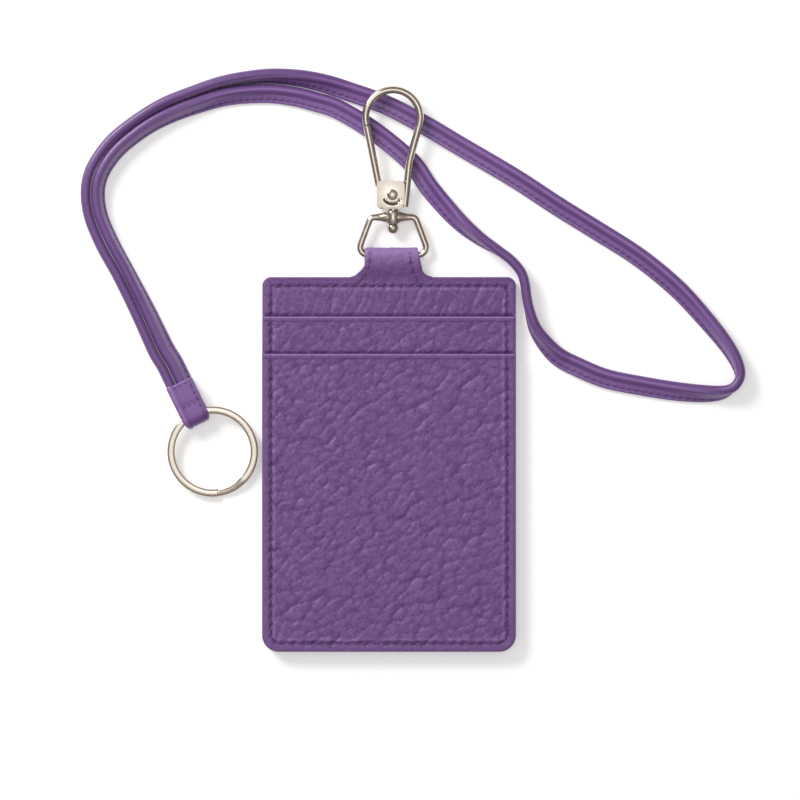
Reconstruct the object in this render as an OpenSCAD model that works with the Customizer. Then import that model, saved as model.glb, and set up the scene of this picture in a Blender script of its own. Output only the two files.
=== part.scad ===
// Leather ID badge wallet with two card pockets, a swivel snap hook and a folded leather lanyard.
// It lies on its window side: +X to the right, +Y towards the hook, +Z up out of the card pockets.

/* [Case] */
// Width of the case
case_w = 70; // [62:1:90]
// Height of the case, without its tab
case_h = 103.4; // [96:0.2:130]
// Radius of the two lower corners
low_corner_r = 4.6; // [3:0.2:9]
// Radius of the two upper corners
top_corner_r = 2.4; // [1.2:0.2:4]
// Thickness of the coloured coat on the cut edges
edge_coat_t = 0.3; // [0.2:0.05:0.5]

/* [Window side] */
// Thickness of the leather panel round the window
window_panel_t = 1; // [0.8:0.1:1.6]
// Leather left at each side of the window
window_side = 12.5; // [11:0.1:18]
// Leather left above the window
window_fall = 16.8; // [14:0.1:26]
// Radius of the window's corners
window_r = 6; // [3:0.5:10]
// Leather left below the window
window_rise = 12.6; // [11:0.2:16]
// Distance of the creased line from the window's edge
window_crease_gap = 1.3; // [1:0.1:2.5]
// Thickness of the clear film
film_t = 0.3; // [0.2:0.05:0.4]
// Gap between the film's edge and the spacer
film_gap = 2.2; // [0.4:0.1:3]
// Thickness of the spacer round the badge pocket
welt_t = 0.7; // [0.5:0.1:1.2]
// Width of the spacer round the badge pocket
welt_w = 6; // [4:0.5:6.5]
// Thickness of the dark pocket lining
lining_t = 0.3; // [0.2:0.05:0.5]

/* [Card side] */
// Thickness of the stiffening board
board_t = 0.4; // [0.3:0.1:1]
// Thickness of the front panel's leather
front_t = 0.8; // [0.6:0.1:1.4]
// Thickness of each card pocket's leather
pocket_t = 0.7; // [0.5:0.1:1.2]
// Thickness of the lining glued behind each card pocket
pocket_lining_t = 0.15; // [0.1:0.05:0.3]
// Drop from the case's top to the upper pocket's edge
upper_drop = 10.9; // [9:0.1:14]
// Drop from the upper pocket's edge to the lower pocket's edge
lower_drop = 10.3; // [9:0.1:14]
// Distance of the pressed line below each pocket's folded edge
pocket_crease_gap = 1.5; // [1.2:0.1:2.5]
// Width of the pressed lines
crease_w = 0.4; // [0.3:0.1:0.6]
// Depth of the pressed lines
crease_d = 0.15; // [0.1:0.05:0.25]

/* [Tab] */
// Width of the tab where it folds over the bar
tab_w = 15.6; // [14:0.1:15.8]
// Distance of the tab's middle from the case's middle
tab_shift = 1.1; // [0:0.1:3]
// Height of the bar's middle above the case's top edge
tab_reach = 6.2; // [5.6:0.1:9]
// Radius of the flares at the tab's foot
tab_flare_r = 3.6; // [2:0.1:4]
// Thickness of the folded leather
tab_t = 0.75; // [0.6:0.05:0.9]
// Length of the tab's end glued in behind the front panel
tab_tuck = 9; // [6:0.5:14]
// Radius of the space inside the fold
sleeve_r = 1.3; // [1.25:0.05:1.4]

/* [Eye] */
// Radius of the eye's wire
eye_wire_r = 0.98; // [0.8:0.02:1]
// Height of the bar's middle above the surface
bar_z = 2.2; // [2.1:0.05:2.8]
// Angle by which the hook is lifted by the strap under it
lift = 3.2; // [0:0.1:6]
// Distance from the eye's middle to the legs, at the bar
eye_leg_x = 9.1; // [9.05:0.05:11]
// Radius of the bends at the bar
eye_bend_r = 2.1; // [2:0.05:2.15]
// Inward lean of the eye's legs
eye_lean = 20.6; // [15:0.2:24]
// Length of the eye's straight legs
eye_leg = 6.9; // [6.2:0.1:8]
// Radius of the bends at the eye's shoulders
eye_shoulder_r = 1.6; // [1.4:0.1:2]
// Radius of the swivel barrel
barrel_r = 1.95; // [1.8:0.05:2.2]
// Length of the swivel barrel
barrel_h = 3.6; // [3:0.1:4.2]

/* [Swivel] */
// Radius of the swivel stem
stem_r = 1.1; // [1:0.05:1.2]
// Radial clearance of the stem in the barrel
stem_fit = 0.06; // [0.03:0.01:0.1]
// Radius of the round head that keeps the stem in
ball_r = 1.6; // [1.5:0.05:1.8]
// Clearance between faces that turn on each other
turn_gap = 0.1; // [0.05:0.01:0.2]
// Thickness of the collar between barrel and hook
collar_t = 0.35; // [0.3:0.05:0.6]

/* [Hook body] */
// Reach of the body to the right of the swivel's axis
body_right = 3.2; // [3:0.1:4]
// Reach of the body to the left of the swivel's axis
body_left = 4.5; // [4.3:0.1:5.5]
// Length of the body along the hook
body_h = 7.7; // [7.4:0.1:9]
// Thickness of the body
body_t = 4.4; // [4.3:0.1:5]
// Radius of the body's corners
body_corner_r = 1.1; // [0.6:0.1:1.4]
// Radius of the gate's pin
pin_r = 0.75; // [0.6:0.05:0.8]
// Radial clearance of the gate on its pin
pin_fit = 0.05; // [0.02:0.01:0.1]
// Radius of the pin's heads
pin_head_r = 1.5; // [1.3:0.05:1.6]
// Height of the pin's heads
pin_head_h = 0.35; // [0.2:0.05:0.5]

/* [Hook] */
// Radius of the hook's wire
hook_wire_r = 1.03; // [0.9:0.01:1.05]
// Length of the wire along and above the body
hook_leg = 10.9; // [10:0.1:12]
// Outward lean of the wire at the body
leg_lean = 5.7; // [4:0.1:7]
// Radius of the bend above the body
mid_bend_r = 20; // [15:0.5:25]
// Further lean that this bend gives
mid_angle = 9.3; // [8:0.1:11]
// Length of the straight run up to the crown
hook_run = 9; // [8:0.1:12]
// Radius of the crown, at the middle of the wire
crown_r = 7.55; // [7:0.05:9]
// Angle through which the crown turns
crown_angle = 206.5; // [200:0.5:208]
// Length of the straight nose after the crown
nose = 1; // [0.8:0.1:2]
// Thickness of the gate's tongue
tongue_t = 0.8; // [0.6:0.05:0.9]
// Clearance all round the gate
gate_gap = 0.12; // [0.08:0.01:0.2]

/* [Split ring] */
// Outer diameter of the split ring
ring_d = 25; // [22:0.5:30]
// Width of the ring's flat wire
ring_wire_w = 2; // [1.6:0.1:2.2]
// Thickness of the ring's flat wire
ring_wire_t = 0.9; // [0.7:0.05:1]
// Gap between the ring's two turns
ring_turn_gap = 0.15; // [0.1:0.05:0.2]
// Angle over which the wire steps from one turn to the next
ring_step = 40; // [30:5:60]

/* [Lanyard] */
// Width of the folded strap
strap_w = 5.5; // [5:0.1:6]
// Thickness of the strap at its round folded edge
strap_t = 2.6; // [2.2:0.1:2.8]
// Thickness of the strap at its stitched edge
strap_edge_t = 1.5; // [1.2:0.1:1.8]
// Width of the sewn end that holds the ring
loop_w = 7.6; // [6.6:0.1:9]
// Length of the sewn end, from the strap to the ring's middle
loop_len = 10; // [8:0.5:14]
// Thickness of the sewn end's leather round the ring
loop_wall = 0.9; // [0.7:0.05:1.2]
// Radius of the hole that the ring passes through
loop_bore_r = 1.9; // [1.85:0.05:2.1]

/* [Hidden] */
$fn = 48;
leather = "#7b5090";
dark_leather = "#5f3c76";
nickel = "#c9c3ba";

// How far a cut runs past the faces that it opens
over = 1;

// The window's opening and how far the film runs on behind the leather round it
window_w = case_w - 2 * window_side;
window_h = case_h - window_rise - window_fall;
film_lap = window_side - edge_coat_t - welt_w - film_gap;

// Levels of the layers, from the surface up
z_film = window_panel_t;
z_lining = z_film + welt_t;
z_board = z_lining + lining_t;
z_front = z_board + board_t;
z_upper_lining = z_front + front_t;
z_upper = z_upper_lining + pocket_lining_t;
z_lower_lining = z_upper + pocket_t;
z_lower = z_lower_lining + pocket_lining_t;
z_top = z_lower + pocket_t;

// The swivel's places along the hook, measured from the bar
wire_steps = [[hook_leg, 0], [mid_bend_r, -mid_angle], [hook_run, 0], [crown_r, crown_angle], [nose, 0]];
function wire_end(steps, i, x, y, a) = i >= len(steps) ? [x, y, a]
    : steps[i][1] == 0
    ? wire_end(steps, i + 1, x + steps[i][0] * cos(a), y + steps[i][0] * sin(a), a)
    : let (s = sign(steps[i][1]), r = s * steps[i][0], b = a + steps[i][1])
        wire_end(steps, i + 1, x + r * (sin(b) - sin(a)), y - r * (cos(b) - cos(a)), b);
eye_rise = wire_end([[eye_bend_r, 90 + eye_lean], [eye_leg, 0], [eye_shoulder_r, 90 - eye_lean]], 0,
    eye_leg_x - eye_bend_r, 0, 0);
barrel_y = eye_rise[1] - barrel_h * 0.5;
body_y = eye_rise[1] + barrel_h * 0.5 + 2 * turn_gap + collar_t;
leg_x = body_right + 0.05 * hook_wire_r;
leg_y = body_y + body_corner_r * 0.5;
nose_at = wire_end(wire_steps, 0, leg_x, leg_y, 90 - leg_lean);
crown_at = wire_end([for (i = [0:2]) wire_steps[i]], 0, leg_x, leg_y, 90 - leg_lean);
crown_y = crown_at[1] + crown_r * cos(crown_at[2]);
hook_reach = (crown_y + crown_r) * cos(lift) + hook_wire_r;

// The case is placed so that the hook and the case have the origin at the middle of their length
case_low = -(case_h + tab_reach + hook_reach) / 2;
case_top = case_low + case_h;
bar_y = case_top + tab_reach;

// The gate's pin, its slot and its straight wire
pin_x = -0.2 * pin_r;
pin_y = body_y + body_h / 2;
lug_r = 2 * pin_r;
slot_half = hook_wire_r + gate_gap;
lug_half = slot_half * 0.62;
tongue_l = 1.5 * hook_wire_r;
gate_foot = [-body_left + hook_wire_r * 0.55, pin_y + 2.3 * hook_wire_r];
gate_dir = [nose_at[0] - gate_foot[0], nose_at[1] - gate_foot[1]];
gate_span = norm(gate_dir);
gate_angle = atan2(gate_dir[1], gate_dir[0]);
gate_len = gate_span - gate_gap;

// The strap's section, from the stitched edge to the folded one, as shares of its width and thickness
section_shares = [[-0.5, -0.5], [-0.2, -0.68], [0.26, -1], [0.46, -0.6],
    [0.46, 0.6], [0.26, 1], [-0.2, 0.68], [-0.5, 0.5]];
function strap_section() = [for (s = section_shares)
    [s[0] * strap_w, s[1] * (s[0] == -0.5 ? strap_edge_t : strap_t) / 2]];

// The sewn end: the strap's first end stands against its back face and the other leans beside it
loop_heading = -64;
loop_back = [-58, -3.8];
end_gap = 0.15;
end_run = 6;
end_lean = 45;
stand_across = end_gap - (loop_w - strap_t) / 2;
bead_share = section_shares[2][0];
lean_across = stand_across + strap_t + end_gap + bead_share * strap_w * cos(end_lean);
function strap_end(along, across, roll) =
    [loop_back[0] + along * cos(loop_heading) - across * sin(loop_heading),
    loop_back[1] + along * sin(loop_heading) + across * cos(loop_heading), roll];

// The strap's route as it lies: x, y and its roll, where 0 is flat and 90 stands on the stitched edge.
// The two strands lie side by side, the inner one leaning on the outer.
strap_lay = [[-65.1, 4.5, 90], [-69.8, 15, 90], [-74.9, 25.5, 90], [-79.3, 33.5, 88],
    [-82.6, 41.5, 86], [-83.6, 48.5, 84], [-82.5, 54.5, 82], [-79.3, 60, 80], [-75.2, 64.5, 78],
    [-68.5, 69.5, 76], [-62, 73.3, 74], [-54.2, 76.4, 72], [-45.3, 79.3, 70], [-34.5, 80.8, 58],
    [-26, 80.5, 44], [-19, 79.3, 30], [-12, 77.2, 14], [-0.5, 73, 0], [10, 67.5, 0],
    [20, 61.6, 2], [34.8, 52.9, 6], [46.6, 45.2, 8], [57.1, 38.7, 10], [69.3, 30.9, 14],
    [79.7, 22.3, 22], [87.2, 14.1, 34], [93, 6.8, 50], [96, 1.4, 66], [96.6, -2.4, 82],
    [94.6, -5.6, 104], [90, -6.8, 134], [80.5, -6.2, 158], [69, -4.4, 168], [59.6, -2.4, 171],
    [51.7, 0.9, 172], [47.1, 3.3, 158], [43.6, 6.5, 140], [40.3, 11, 118], [38.6, 16, 102],
    [37.9, 20, 94], [37.5, 23.5, 90], [36.4, 26.8, 90], [33.6, 30, 94], [29.3, 33, 104],
    [24.9, 36, 120], [20.2, 40, 140], [16, 44.5, 160], [11, 50.5, 176], [6, 57.5, 180],
    [-4, 65.8, 180], [-13.9, 71.8, 178], [-20.4, 74, 175], [-26.5, 75.5, 170], [-34.2, 76.3, 162],
    [-44.5, 75.5, 152], [-53, 73, 140], [-60.5, 70.1, 132], [-66.8, 66.7, 126], [-73, 62, 122],
    [-76.7, 58, 120], [-79.4, 53.3, 119], [-80.3, 48.5, 119], [-79.4, 42.4, 118], [-76.2, 35, 117],
    [-71.9, 27, 116], [-66.6, 16.5, 125], [-61.8, 6.2, 135]];
strap_route = concat([strap_end(0, stand_across, 90), strap_end(-end_run, stand_across, 90)], strap_lay,
    [strap_end(-end_run, lean_across, 90 + end_lean), strap_end(0, lean_across, 90 + end_lean)]);

// The ring's hole in the sewn end
bore_x = loop_back[0] + loop_len * cos(loop_heading);
bore_y = loop_back[1] + loop_len * sin(loop_heading);
bore_z = loop_bore_r + loop_wall;
ring_mid_r = (ring_d - ring_wire_w) / 2;
ring_high = ring_wire_t + ring_turn_gap / 2;
ring_dip = asin((bore_z - ring_high) / (2 * ring_mid_r + ring_wire_w / 2));
ring_set = (ring_mid_r - sqrt(ring_mid_r * ring_mid_r - loop_w * loop_w / 4)) / 2;
ring_turns = 48;

// A plate with the case's outline, drawn in by inset
module case_plate(t, inset) {
    w = case_w - 2 * inset;
    low_r = low_corner_r - inset;
    top_r = top_corner_r - inset;
    linear_extrude(t) translate([0, case_low + inset]) union() {
        h = case_h - 2 * inset;
        translate([-w / 2, low_r]) square([w, h - low_r - top_r]);
        translate([low_r - w / 2, 0]) square([w - 2 * low_r, h]);
        translate([top_r - w / 2, h / 2]) square([w - 2 * top_r, h / 2]);
        for (s = [-1, 1]) {
            translate([s * (w / 2 - low_r), low_r]) circle(low_r);
            translate([s * (w / 2 - top_r), h - top_r]) circle(top_r);
        }
    }
}

// A flat rectangle with round corners, standing on the line y = 0
module round_rect(w, h, r) {
    translate([r - w / 2, 0]) square([w - 2 * r, h]);
    translate([-w / 2, r]) square([w, h - 2 * r]);
    for (s = [-1, 1], y = [r, h - r]) translate([s * (w / 2 - r), y]) circle(r);
}

// The window's outline, grown by more, through a layer from z up by t
module window_cut(z, t, more) {
    translate([0, case_low + window_rise - more, z])
        linear_extrude(t) round_rect(window_w + 2 * more, window_h + 2 * more, window_r + more);
}

// Leather panel of the window side, with a pressed line round its window
module window_panel() {
    color(leather) difference() {
        case_plate(window_panel_t, edge_coat_t);
        window_cut(-over, window_panel_t + 2 * over, 0);
        difference() {
            window_cut(-over, over + crease_d, window_crease_gap + crease_w);
            window_cut(-2 * over, 4 * over, window_crease_gap);
        }
    }
}

// Clear film glued behind the window
module window_film() {
    color("#ffffff", 0.3) window_cut(z_film, film_t, film_lap);
}

// Spacer that leaves room for the badge, open at the top where the badge slides in
module pocket_spacer() {
    color(dark_leather) difference() {
        translate([0, 0, z_film]) case_plate(welt_t, edge_coat_t);
        inner_w = case_w - 2 * (edge_coat_t + welt_w);
        translate([-inner_w / 2, case_low + edge_coat_t + welt_w, z_film - over])
            cube([inner_w, case_h, welt_t + 2 * over]);
    }
}

// Dark lining behind the badge
module pocket_lining() {
    color("#3b352e") translate([0, 0, z_lining]) case_plate(lining_t, edge_coat_t);
}

// Stiffening board, notched for the tucked end of the tab
module stiffener_board() {
    notch_w = tab_w + 2 * gate_gap;
    color("#b39a78") difference() {
        translate([0, 0, z_board]) case_plate(board_t, edge_coat_t);
        translate([tab_shift - notch_w / 2, case_top - tab_tuck - gate_gap, z_board - over])
            cube([notch_w, case_h, board_t + 2 * over]);
    }
}

// Side view of the tab: the fold round the bar and the layers that run back to the case
module tab_side() {
    fold_r = sleeve_r + tab_t;
    difference() {
        union() {
            translate([bar_y, bar_z]) circle(fold_r);
            polygon([[case_top - edge_coat_t, z_board], [case_top, z_board], [bar_y, bar_z - fold_r],
                [bar_y, bar_z + fold_r], [case_top - edge_coat_t, z_upper_lining]]);
        }
        translate([bar_y, bar_z]) circle(sleeve_r);
    }
}

// Front panel cut in one with the tab, which folds over the bar and is tucked back in
module front_panel() {
    color(leather) {
        translate([0, 0, z_front]) case_plate(front_t, edge_coat_t);
        translate([tab_shift - tab_w / 2, 0, 0])
            rotate([90, 0, 90]) linear_extrude(tab_w) tab_side();
        translate([tab_shift - tab_w / 2, case_top - tab_tuck, z_board])
            cube([tab_w, tab_tuck - edge_coat_t, board_t]);
        flare_w = tab_w + 2 * tab_flare_r;
        difference() {
            translate([tab_shift - flare_w / 2, case_top - edge_coat_t, z_front])
                cube([flare_w, tab_flare_r + edge_coat_t, front_t]);
            for (s = [-1, 1])
                translate([tab_shift + s * flare_w / 2, case_top + tab_flare_r, z_front - over])
                    cylinder(r = tab_flare_r, h = front_t + 2 * over);
        }
    }
}

// A card pocket's leather: its upper edge is folded round, with a pressed line below it
module pocket_leather(z, edge_y) {
    r = pocket_t / 2;
    w = case_w - 2 * edge_coat_t;
    difference() {
        union() {
            intersection() {
                translate([0, 0, z]) case_plate(pocket_t, edge_coat_t);
                translate([-case_w, case_low - over, z - over])
                    cube([2 * case_w, edge_y - r - case_low + over, pocket_t + 2 * over]);
            }
            translate([-w / 2, edge_y - r, z + r]) rotate([0, 90, 0]) cylinder(r = r, h = w);
        }
        translate([-case_w, edge_y - pocket_crease_gap, z + pocket_t - crease_d])
            cube([2 * case_w, crease_w, over]);
    }
}

// Thin lining glued behind a card pocket
module card_lining(z, edge_y) {
    intersection() {
        translate([0, 0, z]) case_plate(pocket_lining_t, edge_coat_t);
        translate([-case_w, case_low - over, z - over])
            cube([2 * case_w, edge_y - pocket_t - case_low + over, 2 * over + pocket_lining_t]);
    }
}

// Upper card pocket's lining
module upper_pocket_lining() {
    color(dark_leather) card_lining(z_upper_lining, case_top - upper_drop);
}

// Upper card pocket
module upper_pocket() {
    color(leather) pocket_leather(z_upper, case_top - upper_drop);
}

// Lower card pocket's lining
module lower_pocket_lining() {
    color(dark_leather) card_lining(z_lower_lining, case_top - upper_drop - lower_drop);
}

// Lower card pocket
module lower_pocket() {
    color(leather) pocket_leather(z_lower, case_top - upper_drop - lower_drop);
}

// Coloured coat on the cut edges: it steps down where the pockets end, and leaves the badge's way in
module edge_coat() {
    mouth_w = case_w - 2 * (edge_coat_t + welt_w);
    steps = [[z_upper_lining, case_top - upper_drop],
        [z_lower_lining, case_top - upper_drop - lower_drop]];
    color(dark_leather) difference() {
        translate([0, 0, crease_d]) case_plate(z_top - 2 * crease_d, 0);
        translate([0, 0, -over]) case_plate(z_top + 2 * over, edge_coat_t);
        for (s = steps) translate([-case_w, s[1], s[0] - crease_d]) cube([2 * case_w, case_h, z_top]);
        translate([-mouth_w / 2, case_top - case_h / 2, z_film]) cube([mouth_w, case_h, welt_t]);
        translate([tab_shift - tab_w / 2 - tab_flare_r, case_top - case_h / 2, z_board])
            cube([tab_w + 2 * tab_flare_r, case_h, z_top]);
    }
}

// Places what is on the hook: y runs from the bar along the lifted hook
module on_eye() {
    translate([tab_shift, bar_y, bar_z]) rotate([lift, 0, 0]) children();
}

// Stations along a wire that starts along +X, each [x, y, heading]. A step is [length, 0] for a
// straight run, or [radius, angle] for a bend
bend_angle = 9;
function wire_stations(steps, i, x, y, a) = i >= len(steps) ? [[x, y, a]]
    : let (turn = steps[i][1], count = max(1, ceil(abs(turn) / bend_angle)),
        next = wire_end([steps[i]], 0, x, y, a))
        concat([[x, y, a]], [for (k = [1:1:count - 1])
            wire_end([[steps[i][0], turn * k / count]], 0, x, y, a)],
            wire_stations(steps, i + 1, next[0], next[1], next[2]));

// A round wire swept along its stations
wire_sides = 16;
module swept_wire(stations, r) {
    last = len(stations) - 1;
    points = [for (s = stations, k = [0:wire_sides - 1]) let (t = k * 360 / wire_sides)
        [s[0] - r * cos(t) * sin(s[2]), s[1] + r * cos(t) * cos(s[2]), r * sin(t)]];
    sides = [for (i = [0:last - 1], k = [0:wire_sides - 1])
        let (a = i * wire_sides + k, b = i * wire_sides + (k + 1) % wire_sides)
        each [[a, b + wire_sides, b], [a, a + wire_sides, b + wire_sides]]];
    caps = [[for (k = [0:wire_sides - 1]) k],
        [for (k = [0:wire_sides - 1]) (last + 1) * wire_sides - 1 - k]];
    polyhedron(points = points, faces = concat(sides, caps), convexity = 6);
}

// Cast eye: a bar for the tab, two legs and the barrel in which the hook swivels
module swivel_eye() {
    half_bar = eye_leg_x - eye_bend_r;
    leg_r = eye_wire_r - crease_d * 0.2;
    steps = [[eye_bend_r, 90 + eye_lean], [eye_leg, 0], [eye_shoulder_r, 90 - eye_lean],
        [eye_rise[0] - barrel_r / 2, 0]];
    legs = concat([[half_bar - leg_r, 0, 0]], wire_stations(steps, 0, half_bar, 0, 0));
    color(nickel) on_eye() difference() {
        union() {
            translate([-half_bar, 0, 0]) rotate([0, 90, 0]) cylinder(r = eye_wire_r, h = 2 * half_bar);
            for (m = [0, 1]) mirror([m, 0, 0]) swept_wire(legs, leg_r);
            translate([0, barrel_y, 0]) rotate([-90, 0, 0]) cylinder(r = barrel_r, h = barrel_h);
            for (s = [-1, 1]) translate([0, eye_rise[1], 0]) rotate([0, s * 90, 0])
                cylinder(r1 = barrel_h * 0.46, r2 = eye_wire_r, h = 1.8 * barrel_r);
        }
        translate([0, barrel_y - over, 0]) rotate([-90, 0, 0])
            cylinder(r = stem_r + stem_fit, h = barrel_h + 2 * over);
    }
}

// Swivel stem: a round head below the barrel, a collar above it and its end in the hook's body
module swivel_stem() {
    head_y = barrel_y - turn_gap;
    color(nickel) on_eye() union() {
        translate([0, head_y, 0]) rotate([-90, 0, 0])
            cylinder(r = stem_r, h = body_y - head_y + stem_r);
        intersection() {
            translate([0, head_y - ball_r * 0.7, 0]) sphere(ball_r);
            translate([-ball_r, head_y - 3 * ball_r, -ball_r]) cube([2 * ball_r, 3 * ball_r, 2 * ball_r]);
        }
        translate([0, body_y - turn_gap - collar_t, 0]) rotate([-90, 0, 0])
            cylinder(r = ball_r, h = collar_t + turn_gap);
    }
}

// Hook body: a block with a slot for the gate, a groove for the wire and a crescent below the pin
module hook_body() {
    w = body_left + body_right;
    slot_x = pin_x + lug_r + gate_gap;
    slot_y = pin_y - lug_r - gate_gap;
    color(nickel) on_eye() difference() {
        translate([(body_right - body_left) / 2, body_y, -body_t / 2])
            linear_extrude(body_t) round_rect(w, body_h, body_corner_r);
        translate([slot_x - w, slot_y, -slot_half]) cube([w, body_h, 2 * slot_half]);
        translate([0, body_y - over, 0]) rotate([-90, 0, 0])
            cylinder(r = stem_r, h = over + stem_r);
        translate([pin_x, pin_y, -body_t]) cylinder(r = pin_r, h = 2 * body_t);
        translate([leg_x, leg_y, 0]) rotate([0, 0, 90 - leg_lean]) rotate([0, 90, 0])
            cylinder(r = hook_wire_r, h = hook_leg);
        for (s = [-1, 1]) translate([pin_x, pin_y, s * (body_t / 2 - crease_d)])
            rotate([0, 0, -155]) rotate_extrude(angle = 130)
                translate([lug_r + pin_r, -crease_d]) square([pin_r, 2 * over]);
    }
}

// Teardrop wire of the hook, its nose slotted for the gate's tongue
module hook_wire() {
    slot_l = tongue_l + gate_gap;
    color(nickel) on_eye() difference() {
        swept_wire(wire_stations(wire_steps, 0, leg_x, leg_y, 90 - leg_lean), hook_wire_r);
        translate([nose_at[0], nose_at[1], 0]) rotate([0, 0, nose_at[2]])
            translate([-slot_l, -hook_wire_r * 0.7, -tongue_t / 2 - gate_gap])
                cube([slot_l + over, 3 * hook_wire_r, tongue_t + 2 * gate_gap]);
    }
}

// Pin on which the gate turns, with a low round head on each side
module gate_pin() {
    color(nickel) on_eye() translate([pin_x, pin_y, 0]) {
        cylinder(r = pin_r, h = body_t, center = true);
        for (m = [0, 1]) mirror([0, 0, m]) translate([0, 0, body_t / 2]) intersection() {
            dome_r = (pin_head_r * pin_head_r + pin_head_h * pin_head_h) / (2 * pin_head_h);
            translate([0, 0, pin_head_h - dome_r]) sphere(dome_r, $fn = 96);
            cylinder(r = pin_head_r + pin_head_h, h = pin_head_h);
        }
    }
}

// Torsion spring beside the gate's lug, one leg against the slot and one against the gate
module gate_spring() {
    wire_r = (slot_half - lug_half - gate_gap) / 2.4;
    coil_r = pin_r + 2 * wire_r;
    color("#8d8a86") on_eye() translate([pin_x, pin_y, slot_half - gate_gap / 2 - wire_r]) {
        rotate_extrude() translate([coil_r, 0]) circle(wire_r);
        rotate([0, 0, 140]) translate([0, coil_r, 0]) rotate([0, 90, 0])
            cylinder(r = wire_r, h = 1.6 * coil_r);
    }
}

// Sprung gate: a lug on the pin, the wire and the tongue that sits in the nose
module gate() {
    color(nickel) on_eye() difference() {
        union() {
            translate([pin_x, pin_y, -lug_half]) cylinder(r = lug_r, h = 2 * lug_half);
            arm = [gate_foot[0] - pin_x, gate_foot[1] - pin_y];
            translate([pin_x, pin_y, -lug_half]) rotate([0, 0, atan2(arm[1], arm[0])])
                translate([0, -lug_r * 0.6, 0]) cube([norm(arm), 1.2 * lug_r, 2 * lug_half]);
            translate([gate_foot[0], gate_foot[1], 0]) {
                sphere(hook_wire_r);
                rotate([0, 0, gate_angle]) {
                    rotate([0, 90, 0]) cylinder(r = hook_wire_r, h = gate_len);
                    translate([0, -hook_wire_r * 0.6, -tongue_t / 2])
                        cube([gate_len + tongue_l, 1.2 * hook_wire_r, tongue_t]);
                }
            }
        }
        translate([pin_x, pin_y, -over - lug_half])
            cylinder(r = pin_r + pin_fit, h = 2 * (lug_half + over));
    }
}

// Frame of the strap at a point of its route: across it and out of its flat side
function route_dir(i) = let (a = strap_route[max(0, i - 1)],
    b = strap_route[min(len(strap_route) - 1, i + 1)], d = [b[0] - a[0], b[1] - a[1]]) d / norm(d);
function strap_ring(i) = let (p = strap_route[i], d = route_dir(i), roll = p[2],
    across = [-d[1] * cos(roll), d[0] * cos(roll), sin(roll)],
    out = [d[1] * sin(roll), -d[0] * sin(roll), cos(roll)],
    low = min([for (s = strap_section()) s[0] * across[2] + s[1] * out[2]]))
    [for (s = strap_section()) [p[0], p[1], -low] + s[0] * across + s[1] * out];

// Folded leather strap, one open run from the sewn end right round to it again
module strap() {
    count = len(section_shares);
    last = len(strap_route) - 1;
    points = [for (i = [0:last]) each strap_ring(i)];
    sides = [for (i = [0:last - 1], k = [0:count - 1])
        let (a = i * count + k, b = i * count + (k + 1) % count)
        each [[a, b + count, b], [a, a + count, b + count]]];
    caps = [[for (k = [0:count - 1]) k], [for (k = [0:count - 1]) (last + 1) * count - 1 - k]];
    color(leather) polyhedron(points = points, faces = concat(sides, caps), convexity = 10);
}

// Places what is on the sewn end: x runs from the strap's ends towards the ring's hole
module on_loop() {
    translate([loop_back[0], loop_back[1], 0]) rotate([0, 0, loop_heading]) children();
}

// Sewn end of the strap, folded round the ring
module strap_end_loop() {
    high = 2 * bore_z;
    color(leather) on_loop() translate([0, loop_w / 2, 0]) rotate([90, 0, 0])
        linear_extrude(loop_w) difference() {
            union() {
                translate([loop_len, bore_z]) circle(bore_z);
                square([loop_len, high]);
            }
            translate([loop_len, bore_z]) circle(loop_bore_r);
        }
}

// One section of the split ring's flat wire, turned by a: it climbs one turn within ring_step
function ring_section(a) = let (pitch = ring_wire_t + ring_turn_gap,
    z = pitch * (min(1, max(0, (a - 360 + ring_step / 2) / ring_step)) - 0.5),
    r = [ring_mid_r - ring_wire_w / 2, ring_mid_r + ring_wire_w / 2])
    [for (c = [[0, -1], [1, -1], [1, 1], [0, 1]])
        [r[c[0]] * cos(a), r[c[0]] * sin(a), z + c[1] * ring_wire_t / 2]];

// Split ring: a flat wire wound twice, so that a key can be worked on between its turns
module split_ring() {
    last = 2 * ring_turns - 1;
    points = [for (i = [0:last]) each ring_section(i * (720 - ring_step) / last + ring_step / 2)];
    sides = [for (i = [0:last - 1], k = [0:3]) let (a = i * 4 + k, b = i * 4 + (k + 1) % 4)
        each [[a, b + 4, a + 4], [a, b, b + 4]]];
    caps = [[3, 2, 1, 0], [for (k = [0:3]) last * 4 + k]];
    color(nickel) on_loop() translate([loop_len, 0, bore_z]) rotate([0, ring_dip, 0])
        translate([ring_mid_r - ring_set, 0, 0])
            polyhedron(points = points, faces = concat(sides, caps), convexity = 6);
}

window_panel();
window_film();
pocket_spacer();
pocket_lining();
stiffener_board();
front_panel();
upper_pocket_lining();
upper_pocket();
lower_pocket_lining();
lower_pocket();
edge_coat();
swivel_eye();
swivel_stem();
hook_body();
hook_wire();
gate_pin();
gate_spring();
gate();
strap();
strap_end_loop();
split_ring();
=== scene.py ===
import math

import bmesh
import bpy
import numpy as np
from mathutils import Matrix, Vector


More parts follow.
